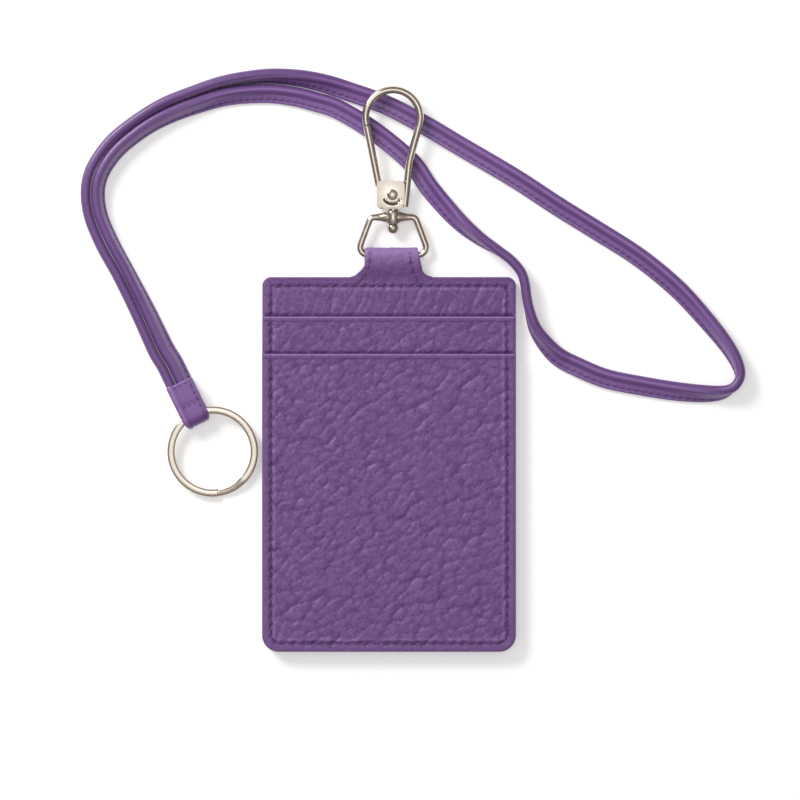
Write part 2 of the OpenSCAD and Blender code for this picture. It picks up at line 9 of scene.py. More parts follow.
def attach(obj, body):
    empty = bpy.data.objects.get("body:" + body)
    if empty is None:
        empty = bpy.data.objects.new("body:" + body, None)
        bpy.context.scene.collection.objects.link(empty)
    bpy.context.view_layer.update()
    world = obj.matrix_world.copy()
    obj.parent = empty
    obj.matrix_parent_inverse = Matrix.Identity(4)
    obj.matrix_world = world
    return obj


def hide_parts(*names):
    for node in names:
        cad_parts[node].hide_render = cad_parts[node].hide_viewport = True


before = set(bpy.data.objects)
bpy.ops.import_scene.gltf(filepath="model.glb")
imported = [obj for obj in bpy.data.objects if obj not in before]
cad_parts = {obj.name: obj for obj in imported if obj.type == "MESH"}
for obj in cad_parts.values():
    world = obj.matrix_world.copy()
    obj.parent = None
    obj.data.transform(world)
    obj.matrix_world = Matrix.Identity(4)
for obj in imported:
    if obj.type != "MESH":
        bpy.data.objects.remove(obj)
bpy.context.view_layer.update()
MM = 0.001

# The photographer's camera looks straight down at the wallet with a long lens. At the level
# of the leather one pixel of the photograph is 0.2756 mm.
leather_level = 4.9 * MM
camera_height = 1200 * MM
picture_width = 220.5 * MM
sensor_width = 36
camera = bpy.data.objects.new("camera", bpy.data.cameras.new("camera"))
camera.data.sensor_width = sensor_width
camera.data.lens = sensor_width * (camera_height - leather_level) / picture_width
camera.data.clip_start, camera.data.clip_end = 0.01, 20
camera.location = (3.03 * MM, -8.56 * MM, camera_height)
bpy.context.scene.collection.objects.link(camera)
bpy.context.scene.camera = camera


# The window side's panel is pebbled calf leather, cut out for the window, with a line pressed
# round it. It lies face down, and the case's seam holds it, 2.45 mm inside the edge.
case_half, case_low, case_top = 35.0, -78.0137, 25.3863
low_corner, top_corner = 4.6, 2.4
coat = 0.3
panel_top = 1.0
window_half, window_low, window_top, window_corner = 22.5, -65.4137, 8.5863, 6.0
seam_inset, stitch_pitch = 2.45, 2.6
tab_middle, tab_half, tab_flare = 1.1, 7.8, 3.6
large_grain, small_grain = 2.4, 1.25


def trail(stops, runs, bend=8, closed=False):
    """Points of a path through stops (x, y, radius): straight runs of so many steps, and
    a round bend at each stop."""
    stops = np.array(stops, float)
    bends = []
    for i, (x, y, radius) in enumerate(stops):
        here = np.array([x, y])
        if not closed and i in (0, len(stops) - 1):
            bends.append([here])
            continue
        before = here - stops[i - 1][:2]
        after = stops[(i + 1) % len(stops)][:2] - here
        before, after = before / np.linalg.norm(before), after / np.linalg.norm(after)
        turn = math.atan2(before[0] * after[1] - before[1] * after[0], before @ after)
        left = np.array([-before[1], before[0]]) * math.copysign(1, turn)
        start = here - before * radius * math.tan(abs(turn) / 2)
        angles = np.linspace(0, abs(turn), bend + 1)
        bends.append([start + radius * (left * (1 - math.cos(a)) + before * math.sin(a))
            for a in angles])
    line = []
    for i, run in enumerate(runs):
        line += bends[i]
        ahead = bends[(i + 1) % len(bends)][0]
        line += [bends[i][-1] + (ahead - bends[i][-1]) * k / run for k in range(1, run)]
    return np.array(line if closed else line + bends[-1])


def run_length(path):
    """The distance gone along a path at each of its points."""
    return np.append(0, np.cumsum(np.linalg.norm(np.diff(path, axis=0), axis=1)))


def at_marks(path, gone, marks):
    """Points of a path at given distances along it."""
    return np.stack([np.interp(marks, gone, part) for part in path.T], axis=-1)


def paced(path, pitch):
    """Points at even steps of about one pitch along a path."""
    gone = run_length(path)
    return at_marks(path, gone, np.linspace(0, gone[-1], round(gone[-1] / pitch) + 1))


def box_ring(x, low, high, low_r, top_r, runs):
    """A box with round corners, as points anticlockwise from its low left corner."""
    return trail([(-x, low, low_r), (x, low, low_r), (x, high, top_r), (-x, high, top_r)],
        runs, closed=True)


def case_ring(inset, runs):
    """The case's outline drawn in by inset."""
    return box_ring(case_half - inset, case_low + inset, case_top - inset,
        max(low_corner - inset, 1.6), max(top_corner - inset, 1.2), runs)


def window_ring(more, runs):
    """The window's outline grown by more."""
    corner = window_corner + more
    return box_ring(window_half + more, window_low - more, window_top + more, corner, corner, runs)


def edge_distance(x, y, tab=False):
    """Distance in mm inward from the case's edge. With the tab, its foot is no edge."""
    corner = np.where(y < 0, low_corner, top_corner)
    across = np.abs(x) - (case_half - corner)
    along = np.where(y < 0, case_low + corner - y, y - (case_top - corner))
    outside = np.hypot(np.maximum(across, 0), np.maximum(along, 0))
    distance = corner - outside - np.minimum(np.maximum(across, along), 0)
    if not tab:
        return distance
    from_tab = np.abs(x - tab_middle)
    centre = tab_half + tab_flare - from_tab
    foot = np.hypot(centre, y - case_top - tab_flare) - tab_flare
    foot = np.where(y < case_top + tab_flare, foot, tab_half - from_tab)
    foot = np.minimum(foot, case_half - np.abs(x))
    return np.where(centre > 0, foot, distance)


def smooth(t):
    """A soft step from 0 to 1, as t goes from 0 to 1."""
    t = np.clip(t, 0, 1)
    return t * t * (3 - 2 * t)


def bell(t):
    """A soft hump: 1 at 0, and next to nothing beyond 2."""
    return np.exp(-t ** 2)


def rolled(t, share=0.96):
    """How far a rolled edge has fallen, from 0 at t = 0 to nearly 1 at t = 1."""
    return 1 - np.sqrt(1 - share * t ** 2)


def ripple(x, y, size, seed):
    """Smooth random hills and dips from -1 to 1, about size (mm) apart."""
    angles = np.random.default_rng(seed).random((7, 2)) * 2 * math.pi
    waves = [np.sin((x * math.cos(a) + y * math.sin(a)) * (0.7 + 0.1 * i) * math.pi / size + b)
        for i, (a, b) in enumerate(angles)]
    return sum(waves) / 3


grain_dice = np.random.default_rng(5).random((64, 64, 3))


def cells(x, y, size, slant, stretch):
    """Grain cells at places: how far each place lies from its cell's middle, and towards the
    side on which its cell lies on the next, both in cells. Cells are long along the slant."""
    c, s = math.cos(math.radians(slant)), math.sin(math.radians(slant))
    u, v = (x * c + y * s) / (size * stretch), (y * c - x * s) / size
    u, v = u + 0.2 * ripple(x, y, 7, 1), v + 0.2 * ripple(x, y, 7, 2)
    i, j = np.floor(u), np.floor(v)
    near, lean = np.full(np.shape(u), 9.0), np.zeros(np.shape(u))
    for di in (-1, 0, 1):
        for dj in (-1, 0, 1):
            dice = grain_dice[(i + di).astype(int) % 64, (j + dj).astype(int) % 64]
            du = i + di + 0.05 + 0.9 * dice[..., 0] - u
            dv = j + dj + 0.05 + 0.9 * dice[..., 1] + 0.5 * ((i + di) % 2) - v
            far = np.hypot(du, dv)
            lean = np.where(far < near, -dv * (0.6 + 0.8 * dice[..., 2]), lean)
            near = np.minimum(near, far)
    return near, lean


def leather(x, y, distance, holes, seam=None, slant=35.0, long=1.4, domed=1.0, calm=0.0):
    """The worked leather's height below its flat face in mm, and how dark it is, from -1 to 1:
    rolled edge, seam with its holes and puckers, and grain. Its darkness is painted light:
    painted shade in the grain's creases, in the seam's groove and in its holes, and painted
    highlights on the grain's tops, on the side of each cell that faces the key lamp and on
    the puckers; it is also paler outside the seam. distance is that from the cut edge, seam
    the one from the seam's own edge, calm how far the grain is pressed flat."""
    off_seam = (distance if seam is None else seam) - seam_inset
    large, lean = cells(x, y, large_grain, slant, long)
    small, tilt = cells(x, y, small_grain, slant + 50, 1.2)
    strong = np.clip(1 + 0.25 * ripple(x, y, 6, 3), 0.5, 1.2)
    inner = (0.3 + 0.7 * smooth((distance - 1.2) / 2.2)) * (1 - calm)
    grain = strong * (0.38 * domed * large ** 2 - 0.19 * lean) + 0.17 * small ** 2 - 0.04 * tilt
    grain = np.clip(0.06 + grain + 0.025 * ripple(x, y, 0.9, 4), 0, 0.55)
    gap = np.hypot(x[:, None] - holes[None, :, 0], y[:, None] - holes[None, :, 1]).min(axis=1)
    valley, hole = bell(off_seam / 0.42), bell(gap / 0.48)
    pucker = bell((off_seam - 0.8) / 0.5) * (1 - bell(gap / 1.1))
    drop = grain * inner + 0.16 * valley + 0.18 * hole - 0.1 * pucker
    drop = drop + 0.26 * rolled(np.clip(1 - (distance - coat) / 0.6, 0, 1))
    # Painted light: painted shade in creases, the seam's groove and holes; painted highlights on the
    # grain's tops, on the cell sides that face the key lamp and on the puckers.
    shade = inner * strong * (0.6 * domed * (large ** 2 - 0.22) - 0.6 * np.maximum(lean - 0.15, 0))
    shade = shade + inner * 0.35 * (small ** 2 - 0.2)
    shade = shade + 0.4 * valley + 1.1 * hole - 0.5 * pucker - 0.12 * (off_seam < 0)
    return drop, np.clip(shade, -1, 1)


def shaded_mesh():
    """An empty mesh whose points carry how dark the leather is."""
    bm = bmesh.new()
    bm.verts.layers.float.new("shade")
    return bm


def skin(bm, rings, closed=False, shades=()):
    """A skin over rings of points (mm): a grid with a row for each ring, rolled up and welded.
    Closed, its last ring joins its first. Returns the vertices ring by ring."""
    count, around = len(rings), len(rings[0])
    rows = count + 1 if closed else count
    grid = bmesh.ops.create_grid(bm, x_segments=around, y_segments=rows - 1, size=1)["verts"]
    made = [[None] * (around + 1) for _ in range(rows)]
    for v in grid:
        made[round((v.co.y + 1) / 2 * (rows - 1))][round((v.co.x + 1) / 2 * around)] = v
    weld = {}
    for j, row in enumerate(made):
        for i, v in enumerate(row):
            v.co = Vector(rings[j % count][i % around]) * MM
            if i == around or j == count:
                weld[v] = made[j % count][i % around]
    bmesh.ops.weld_verts(bm, targetmap=weld)
    made = [row[:around] for row in made[:count]]
    if not closed:
        bm.faces.new(made[0])
        bm.faces.new(made[-1])
    for row, darks in zip(made, shades):
        for v, dark in zip(row, darks):
            v[bm.verts.layers.float["shade"]] = dark
    return made


def placed(name, bm, material):
    """The finished mesh as an object of the scene."""
    mesh = bpy.data.meshes.new(name)
    bm.to_mesh(mesh)
    bm.free()
    mesh.materials.append(material)
    made = bpy.data.objects.new(name, mesh)
    bpy.context.scene.collection.objects.link(made)
    return made


def piece(name, bm, material, body, slot, *stands_for, sharp=60):
    """The finished mesh as a piece that rides on a body. sharp is the angle of a hard edge."""
    bmesh.ops.recalc_face_normals(bm, faces=bm.faces)
    made = placed(name, bm, material)
    made.data.shade_smooth()
    made.data.set_sharp_from_angle(angle=math.radians(sharp))
    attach(made, body)
    if stands_for:
        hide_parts(*stands_for)
    return made


def linear(code):
    """A colour written as an sRGB hex value, turned linear."""
    parts = [int(code[i:i + 2], 16) / 255 for i in (1, 3, 5)]
    return [c / 12.92 if c <= 0.04045 else ((c + 0.055) / 1.055) ** 2.4 for c in parts] + [1]


def add(tree, kind, settings, **inputs):
    """A node with its settings, and its inputs set to a value or a colour, or linked to
    another node or to one of its outputs. i0, i1 and so on are inputs by number."""
    made = tree.nodes.new(kind)
    for name, value in settings.items():
        setattr(made, name, value)
    for name, value in inputs.items():
        number = name[1:]
        socket = made.inputs[int(number)] if number.isdigit() else made.inputs[name.replace("_", " ")]
        if isinstance(value, bpy.types.Node):
            tree.links.new(value.outputs[0], socket)
        elif isinstance(value, bpy.types.NodeSocket):
            tree.links.new(value, socket)
        else:
            socket.default_value = linear(value) if isinstance(value, str) else value
    return made


def calc(tree, operation, *values):
    """A value worked out from others."""
    return add(tree, "ShaderNodeMath", {"operation": operation},
        **{f"i{k}": value for k, value in enumerate(values)})


def remap(tree, value, low, high, first=0.0, last=1.0):
    """A value from low to high turned into one from first to last."""
    return add(tree, "ShaderNodeMapRange", {}, Value=value, From_Min=low, From_Max=high,
        To_Min=first, To_Max=last)


def blend(tree, share, first, second):
    """A colour between the first, where share is 0, and the second, where it is 1."""
    mixed = add(tree, "ShaderNodeMix", {"data_type": "RGBA"}, i0=share, i6=first, i7=second)
    return mixed.outputs[2]


def own_place(tree):
    """Places in the object's own frame."""
    return add(tree, "ShaderNodeTexCoord", {}).outputs["Object"]


def noise(tree, size, detail):
    """Soft noise whose clouds are about size (mm) wide."""
    return add(tree, "ShaderNodeTexNoise", {}, Vector=own_place(tree), Scale=1 / (size * MM),
        Detail=detail).outputs["Fac"]


def painted_light(tree, colour, dark, dark_share, pale, pale_share):
    """A leather's colour with painted light, by the shade its points carry: painted shade
    towards the dark colour, painted highlight towards the pale one.
    """
    shade = add(tree, "ShaderNodeAttribute", {"attribute_name": "shade"}).outputs["Fac"]
    colour = blend(tree, calc(tree, "MULTIPLY", shade, dark_share), colour, dark)
    return blend(tree, calc(tree, "MULTIPLY", shade, -pale_share), colour, pale)


def pored(tree, pore, wrinkle, detail, share):
    """Height of a leather's pores and of its finest wrinkles, both by their size in mm."""
    pores = add(tree, "ShaderNodeTexVoronoi", {}, Vector=own_place(tree), Scale=1 / (pore * MM))
    return calc(tree, "MULTIPLY_ADD", noise(tree, wrinkle, detail), share, pores.outputs["Distance"])


def bumped(tree, height, strength, deep):
    """A fine relief from height, deep (mm)."""
    return add(tree, "ShaderNodeBump", {}, Strength=strength, Distance=deep * MM, Height=height)


def surface(tree, colour, **settings):
    """A plain surface in a colour."""
    shader = add(tree, "ShaderNodeBsdfPrincipled", {}, Base_Color=colour, **settings)
    add(tree, "ShaderNodeOutputMaterial", {}, Surface=shader)


def material(name):
    """An empty material: itself and its node tree."""
    made = bpy.data.materials.new(name)
    made.use_nodes = True
    made.node_tree.nodes.clear()
    return made, made.node_tree


# Pebbled calf, dyed purple through and finished with a satin top coat, with pale fine flecks.
# Its shade paints light into its colour: painted highlights on the tops of the grain, and
# painted shade in its creases and round the stitches.
pebbled_calf, tree = material("pebbled_calf_purple")
tone = blend(tree, noise(tree, 9, 4), "#573370", "#684380")
tone = blend(tree, remap(tree, noise(tree, 0.7, 3), 0.35, 0.65, 0, 0.16), tone, "#a583bb")
surface(tree, painted_light(tree, tone, "#43285a", 0.7, "#a886bd", 0.6), Roughness=0.5, IOR=1.42,
    Normal=bumped(tree, pored(tree, 0.7, 0.6, 5, 0.8), 0.5, 0.12))

back_seam = case_ring(seam_inset, (30, 50, 30, 50))
back_holes = paced(np.vstack([back_seam, back_seam[:1]]), stitch_pitch)
runs = (140, 210, 140, 210)
line_at, line_half = 1.6, 0.22
shelf = [case_ring(inset, runs) for inset in [coat, 0.38, 0.5, 0.68, 0.9, *np.arange(1.15, 5.6, 0.26)]]
outer, inner = shelf[-1], window_ring(3.0, runs)
shelf += [outer + (inner - outer) * share for share in np.linspace(0, 1, 13)[1:]]
shelf += [window_ring(more, runs) for more in
    (2.5, 2.15, 1.95, 1.8, 1.68, 1.55, 1.42, 1.3, 1.15, 0.9, 0.6, 0.38, 0.2, 0.08, 0)]
rings, shades = [], []
for ring in [shelf[0]] + shelf + [shelf[-1]]:
    drop, shade = leather(*ring.T, edge_distance(*ring.T), back_holes)
    x = np.abs(ring[:, 0]) - window_half + window_corner
    y = np.abs(ring[:, 1] - (window_low + window_top) / 2) - (window_top - window_low) / 2 + window_corner
    more = np.hypot(np.maximum(x, 0), np.maximum(y, 0)) + np.minimum(np.maximum(x, y), 0) - window_corner
    pressed = bell((more - line_at) / line_half)
    drop = np.maximum(drop + 0.16 * pressed + 0.2 * rolled(np.clip(1 - more / 0.35, 0, 1)), 0)
    rings.append(np.column_stack([ring, drop]))
    # Painted shade along the pressed line round the window, over the grain's painted shade; the grain's
    # paler tones are cut off here.
    shades.append(np.clip(shade + 0.7 * pressed, 0, 1))
rings[0][:, 2] = rings[-1][:, 2] = panel_top
bm = shaded_mesh()
skin(bm, rings, closed=True, shades=shades)
piece("panel_window_side", bm, pebbled_calf, "case", "leather", "window_panel")

# The window is a sheet of clear soft film, glued behind the panel. It lies a little wavy, so
# that its reflections bend.
clear_film, tree = material("clear_film")
bump = bumped(tree, noise(tree, 14, 1), 0.3, 0.4)
gloss = add(tree, "ShaderNodeBsdfGlossy", {}, Color="#ffffff", Roughness=0.06, Normal=bump)
through = add(tree, "ShaderNodeBsdfTransparent", {}, Color="#f1f1ef")
share = add(tree, "ShaderNodeFresnel", {}, IOR=1.4, Normal=bump)
both = add(tree, "ShaderNodeMixShader", {}, i0=share, i1=through, i2=gloss)
add(tree, "ShaderNodeOutputMaterial", {}, Surface=both)


def dress(node, material):
    """Gives a CAD node a material of its own."""
    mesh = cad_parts[node].data
    mesh.materials.clear()
    mesh.materials.append(material)


dress("window_film", clear_film)

# The spacer is split leather, cut as one strip for both sides and the foot and glued in
# between the panel and the lining. It leaves the badge its room, open at the top.


def merged(node):
    """A copy of a CAD node's mesh, with its doubled points and its flat faces joined."""
    bm = bmesh.new()
    bm.from_mesh(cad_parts[node].data)
    bmesh.ops.remove_doubles(bm, verts=bm.verts, dist=0.002 * MM)
    bmesh.ops.dissolve_limit(bm, angle_limit=math.radians(2), verts=bm.verts, edges=bm.edges)
    return bm


def ease(made, width):
    """Rounds a piece's hard edges by width (mm)."""
    eased = made.modifiers.new("eased", "BEVEL")
    eased.width = width * MM
    eased.segments = 2
    eased.limit_method = "ANGLE"
    eased.angle_limit = math.radians(35)


def twin(name, node, material, body, slot, edge):
    """A CAD node's copy as a piece, with its edges eased by edge (mm)."""
    ease(piece(name, merged(node), material, body, slot, node, sharp=35), edge)


# Split calf, dyed the leather's colour: matt and napped, a little darker than the grain side.
split_calf, tree = material("split_calf_dark")
nap = noise(tree, 0.4, 6)
surface(tree, blend(tree, nap, "#4a3058", "#6a4a7c"), Roughness=0.75, IOR=1.5,
    Normal=bumped(tree, nap, 0.5, 0.1))
twin("spacer_cut", "pocket_spacer", split_calf, "case", "leather_edge", 0.08)

# Behind the badge lies a dark lining cloth with a fine speckled weave, glued to the
# stiffening board. It is what the window shows when no badge is in.
thread_pitch = 0.35
wave_pitch = 0.31
lining_cloth, tree = material("woven_lining_dark")
warp, weft = [add(tree, "ShaderNodeTexWave", {"bands_direction": way}, Vector=own_place(tree),
    Scale=wave_pitch / (thread_pitch * MM)).outputs["Fac"] for way in "XY"]
surface(tree, blend(tree, noise(tree, 0.5, 3), "#2f2a24", "#464039"), Roughness=0.8, IOR=1.45,
    Normal=bumped(tree, calc(tree, "MULTIPLY", warp, weft), 0.4, 0.06))
twin("lining_glued", "pocket_lining", lining_cloth, "case", "lining", 0.04)

# The stiffener is pressed grey-brown board, glued in the middle of the case. It shows only
# where the tab's end is let into it.
grey_board, tree = material("pressed_board")
surface(tree, blend(tree, noise(tree, 0.8, 6), "#9c8263", "#bda484"), Roughness=0.9)
dress("stiffener_board", grey_board)

# The card side's panel is cut in one with the tab, which folds round the eye's bar and is
# tucked back in. The seam runs up both sides of the tab and round the fold.
front_foot, front_top = 2.4, 3.2
upper_edge, lower_edge = 14.49, 4.19
bar_y, bar_z, fold_r = 31.5863, 2.2, 2.05
tab_t, tab_start = 0.75, 24.2
grid_step = 0.34
rim = [0, 0.07, 0.16, 0.28, 0.42, 0.6] + list(np.arange(0.85, 5.2, 0.27))


def lines(start, end, step, low_rim=(0,), high_rim=(0,)):
    """Grid lines from start to end: closer ones at given distances from the ends."""
    low, high = start + np.array(low_rim), end - np.array(high_rim)
    count = max(1, round((high.min() - low.max()) / step))
    middle = np.linspace(low.max(), high.min(), count + 1)[1:-1]
    return np.unique(np.round(np.concatenate([low, middle, high]), 4))


def sheet(bm, columns, rows, corners, face, foot):
    """A leather sheet on a grid, with corners rounded by a low and a top radius. face gives
    its height and shade at places, and foot is the level of its underside."""
    layer = bm.verts.layers.float["shade"]
    grid = bmesh.ops.create_grid(bm, x_segments=len(columns) - 1, y_segments=len(rows) - 1,
        size=1)["verts"]
    at = np.array([v.co[:2] for v in grid])
    x = columns[np.rint((at[:, 0] + 1) / 2 * (len(columns) - 1)).astype(int)]
    y = rows[np.rint((at[:, 1] + 1) / 2 * (len(rows) - 1)).astype(int)]
    half = columns[-1]
    for r, end, side in ((corners[0], rows[0], -1), (corners[1], rows[-1], 1)):
        centre = end - side * r
        across, along = (np.abs(x) - half + r) / max(r, 1e-6), (y - centre) * side / max(r, 1e-6)
        bent = (across > 0) & (along > 0) & (r > 0)
        x = np.where(bent, np.sign(x) * (half - r + r * across * np.sqrt(np.abs(1 - along ** 2 / 2))), x)
        y = np.where(bent, centre + side * r * along * np.sqrt(np.abs(1 - across ** 2 / 2)), y)
    height, shade = face(x, y)
    for v, *spot, dark in zip(grid, x, y, height, shade):
        v.co = Vector(spot) * MM
        v[layer] = dark
    border = [e for e in bm.edges if e.is_boundary]
    grown = bmesh.ops.extrude_edge_only(bm, edges=border)["geom"]
    for v in grown:
        if isinstance(v, bmesh.types.BMVert):
            v.co.z = foot * MM
    bmesh.ops.contextual_create(bm, geom=[e for e in grown if isinstance(e, bmesh.types.BMEdge)
        and e.is_boundary])


def folded(outer, inner, half, step):
    """Rings of a folded strip from one side to the other and back along its inside, with
    rolled edges: outer and inner are its side view, half its half width at each point."""
    inward = inner - outer
    thick = np.linalg.norm(inward, axis=1)
    inward /= np.maximum(thick, 1e-9)[:, None]
    steps = round(2 * half.min() / step)
    edge = [(0.3, 0.0), (0.17, 0.05), (0.08, 0.14), (0.02, 0.28)]
    places = [(-half + inset, pull) for pull, inset in edge]
    places += [((half - 0.45) * f, 0.0) for f in np.linspace(-1, 1, steps + 1)]
    places += [(half - inset, pull) for pull, inset in edge[::-1]]
    rings = [np.column_stack([across, outer + inward * np.minimum(pull, 0.45 * thick)[:, None]])
        for across, pull in places]
    for side, pull, inset in ((1, 0.3, 0.03), (1, 0.0, 0.3), (-1, 0.0, 0.3), (-1, 0.3, 0.03)):
        rings.append(np.column_stack([side * (half - inset),
            inner - inward * np.minimum(pull, 0.45 * thick)[:, None]]))
    return rings


front_lean, rear_lean = math.radians(9.42), math.radians(16.6)
fold_turn = np.linspace(math.pi / 2 + front_lean, -math.pi / 2 - rear_lean, 30)
fold = np.column_stack([bar_y + fold_r * np.cos(fold_turn), bar_z + fold_r * np.sin(fold_turn)])
front_line = trail([(tab_start, front_top, 0), (25.35, front_top, 5), (*fold[0], 0)], (3, 40))
rear_line = trail([(*fold[-1], 0), (24.4, 2.06, 0)], (14,))
tab_line = np.vstack([front_line, fold[1:-1], rear_line])
tab_gone = tab_start + run_length(tab_line)


def on_tab(gone):
    """Place along the tab's side view, and the way out of the leather there."""
    spot = at_marks(tab_line, tab_gone, gone)
    ahead = at_marks(tab_line, tab_gone, gone + 0.05) - spot
    ahead /= np.maximum(np.linalg.norm(ahead, axis=-1), 1e-9)[..., None]
    return spot, np.stack([-ahead[..., 1], ahead[..., 0]], axis=-1)


# The seam runs round the case, also across the tab's foot. Two short rows run up the tab.
front_seam = case_ring(seam_inset - 0.1, (30, 50, 30, 50))
front_holes = paced(np.vstack([front_seam, front_seam[:1]]), stitch_pitch)
tab_rows = [[(-5.2, 32.0), (-5.4, 29.0), (-6.5, 26.0), (-8.3, 23.9)],
    [(5.9, 32.0), (6.0, 29.0), (7.1, 26.0), (7.9, 23.9)],
    [(-5.4, 38.6), (-5.4, 43.6)], [(7.2, 38.6), (7.2, 43.6)]]
tab_holes = [paced(np.array(row), 2.5) for row in tab_rows]
panel_holes = np.vstack([front_holes, *tab_holes])
# Under a pocket's fold: the half width and depth of a shallow groove, the darkness of its painted shadow,
# and the deepest fall.
behind_half, behind_deep, painted_fold_shadow, deepest = 0.6, 0.3, 0.8, 0.6


def panel_leather(x, y):
    """Height and shade of the card side's panel, whose grain runs steep above the pockets, and
    of the tab, with painted shade at its foot and a painted highlight over the bar. The panel
    takes painted shadow just above the upper pocket's fold."""
    on_tab_share = smooth((y - case_top + 1.6) / 1.2)
    drop, shade = leather(x, y, edge_distance(x, y, tab=True), panel_holes, edge_distance(x, y),
        slant=70, long=2.4, domed=0.5, calm=0.45 * on_tab_share)
    # Painted light on the tab: painted shade at its foot, a painted highlight over the bar.
    shade = shade + on_tab_share * (0.55 - 1.5 * smooth((y - case_top + 0.5) / 8.5))
    # Painted shadow on the panel just above the upper pocket's fold, over a real shallow groove.
    behind = bell(np.maximum(y - upper_edge, 0) / behind_half)
    return np.minimum(drop + behind_deep * behind, deepest), np.clip(shade + painted_fold_shadow * behind, -1, 1)


def panel_face(x, y):
    """Height and shade of the panel as a sheet, flat below the pockets."""
    drop, shade = panel_leather(x, y)
    return front_top - drop * smooth((y - 9) / 3), shade


def tab_side(gone, side):
    """Where the tab's side lies (x) at a distance along it: it widens towards its foot, and
    its left side stays narrow where the eye's leg swings past."""
    flare = 2.0
    near = np.clip(27.4 - gone, 0, flare)
    if side < 0:
        edge = 6.75 + 1.6 * smooth((28.9 - gone) / 2.8)
    else:
        edge = 7.95 + 0.22 * np.clip(33.0 - gone, 0, 7.6)
    return side * (edge + 1.3 * (flare - np.sqrt(flare ** 2 - near ** 2)))


bm = shaded_mesh()
columns = lines(coat - case_half, case_half - coat, grid_step, rim, rim)
rows = np.concatenate([np.linspace(case_low + coat, 12, 10),
    lines(12.5, case_top - coat, grid_step, (0,), rim[:16])])
sheet(bm, columns, rows, (low_corner - coat, top_corner - coat), panel_face, front_foot)
marks = np.linspace(tab_start + 0.1, tab_gone[-1], 96)
spot, way = on_tab(marks)
middle = (np.interp(spot[:, 0], *front_line.T) + np.interp(spot[:, 0], *rear_line[::-1].T)) / 2
inner = spot - way * tab_t
front_side, rear_side = marks < 31.2, marks > tab_gone[-1] - 6.6
inner[:, 1] = np.where(front_side, np.maximum(inner[:, 1], middle + 0.02), inner[:, 1])
inner[:, 1] = np.where(rear_side, np.minimum(inner[:, 1], middle - 0.02), inner[:, 1])
left, right = tab_side(marks, -1), tab_side(marks, 1)
shift = np.column_stack([(left + right) / 2, 0 * left, 0 * left])
rings = [ring + shift for ring in folded(spot, inner, (right - left) / 2, 0.5)]
for ring in skin(bm, rings, closed=True)[:-4]:
    drop, shade = panel_leather(np.array([v.co.x for v in ring]) / MM, marks)
    drop = np.where(marks < case_top, drop - 0.012, drop)
    for v, fall, out, dark in zip(ring, drop, way, shade):
        v.co -= Vector((0, *out)) * float(fall) * MM
        v[bm.verts.layers.float["shade"]] = dark
piece("panel_card_side", bm, pebbled_calf, "case", "leather", "front_panel")

# Each card pocket has a thin lining of split leather, glued to its back so that cards slide
# in easily. The upper one lies on the panel.
twin("upper_pocket_lining_cut", "upper_pocket_lining", split_calf, "case", "leather_edge", 0.03)

# The upper card pocket is pebbled calf, 0.7 mm thick, its top edge folded over and creased
# 1.5 mm below the fold. The seam along the case's edge holds it.
pocket_t, crease_gap = 0.7, 1.5
upper_foot, lower_foot = 3.35, 4.2
fold_rim = [0, 0.05, 0.12, 0.22, 0.34, 0.5, 0.7, 0.9, 1.05, 1.2, 1.35, 1.5, 1.65, 1.8, 2.0, 2.25]


def pocket(name, node, rows, edge, foot, seen_from, domed, behind_edge):
    """A card pocket as a piece. It is flat below seen_from, its grain is pressed flat near the
    fold, and it takes painted shadow where the next pocket's fold, at behind_edge, lies on it,
    a painted highlight along its fold and painted shade along its crease."""
    def face(x, y):
        drop, shade = leather(x, y, edge_distance(x, y), front_holes, domed=domed)
        down = edge - y
        pressed, ridge = bell((down - crease_gap) / 0.18), bell((down - 0.25) / 0.2)
        behind = bell(np.maximum(y - behind_edge, 0) / behind_half)
        grained = 0.3 + 0.7 * smooth((down - 1.0) / 1.2)
        drop = np.minimum(drop * grained + 0.1 * pressed + behind_deep * behind, deepest)
        height = foot + pocket_t - drop * smooth((y - seen_from) / 3)
        height -= 0.35 * rolled(np.clip(1 - down / 0.3, 0, 1), 0.98)
        # Painted shade along the crease and under the next fold, and a painted highlight along the fold.
        shade = shade * grained + 0.35 * pressed - 1.0 * ridge + painted_fold_shadow * behind
        return height, np.clip(shade, -1, 1)
    bm = shaded_mesh()
    sheet(bm, columns, rows, (low_corner - coat, 0), face, foot)
    piece(name, bm, pebbled_calf, "case", "leather", node)


rows = np.concatenate([np.linspace(case_low + coat, 0, 9), lines(1, upper_edge, grid_step, (0,), fold_rim)])
pocket("pocket_upper", "upper_pocket", rows, upper_edge, upper_foot, -1, 0.6, lower_edge)

# The lower pocket's lining is cut like the upper one and lies on the upper pocket's leather.
# It ends a little below the fold, where nobody sees it.
twin("lower_pocket_lining_cut", "lower_pocket_lining", split_calf, "case", "leather_edge", 0.03)

# The lower card pocket is the large face of the card side, of the same leather with the
# fullest grain, and its fold and crease are made like the upper one's.
rows = lines(case_low + coat, lower_edge, grid_step, rim, fold_rim)
pocket("pocket_lower", "lower_pocket", rows, lower_edge, lower_foot, -99, 1.0, -999.0)

# The cut edges of all layers are sanded round and coated in one smooth dark colour, in which
# the layers still show as faint lines. The coat leaves the badge's way in open.
mouth_half, mouth_low, mouth_top = 28.7, 1.0, 1.7
coat_low, coat_tops = 0.15, (4.75, 3.9, 3.05)
layer_lines = (1.0, 2.4, 3.2, 4.05)
edge_paint, tree = material("edge_coat_satin")
cloud = noise(tree, 4, 4)
surface(tree, blend(tree, cloud, "#5c3f70", "#745688"), Roughness=0.42, IOR=1.5,
    Normal=bumped(tree, cloud, 0.3, 0.1))


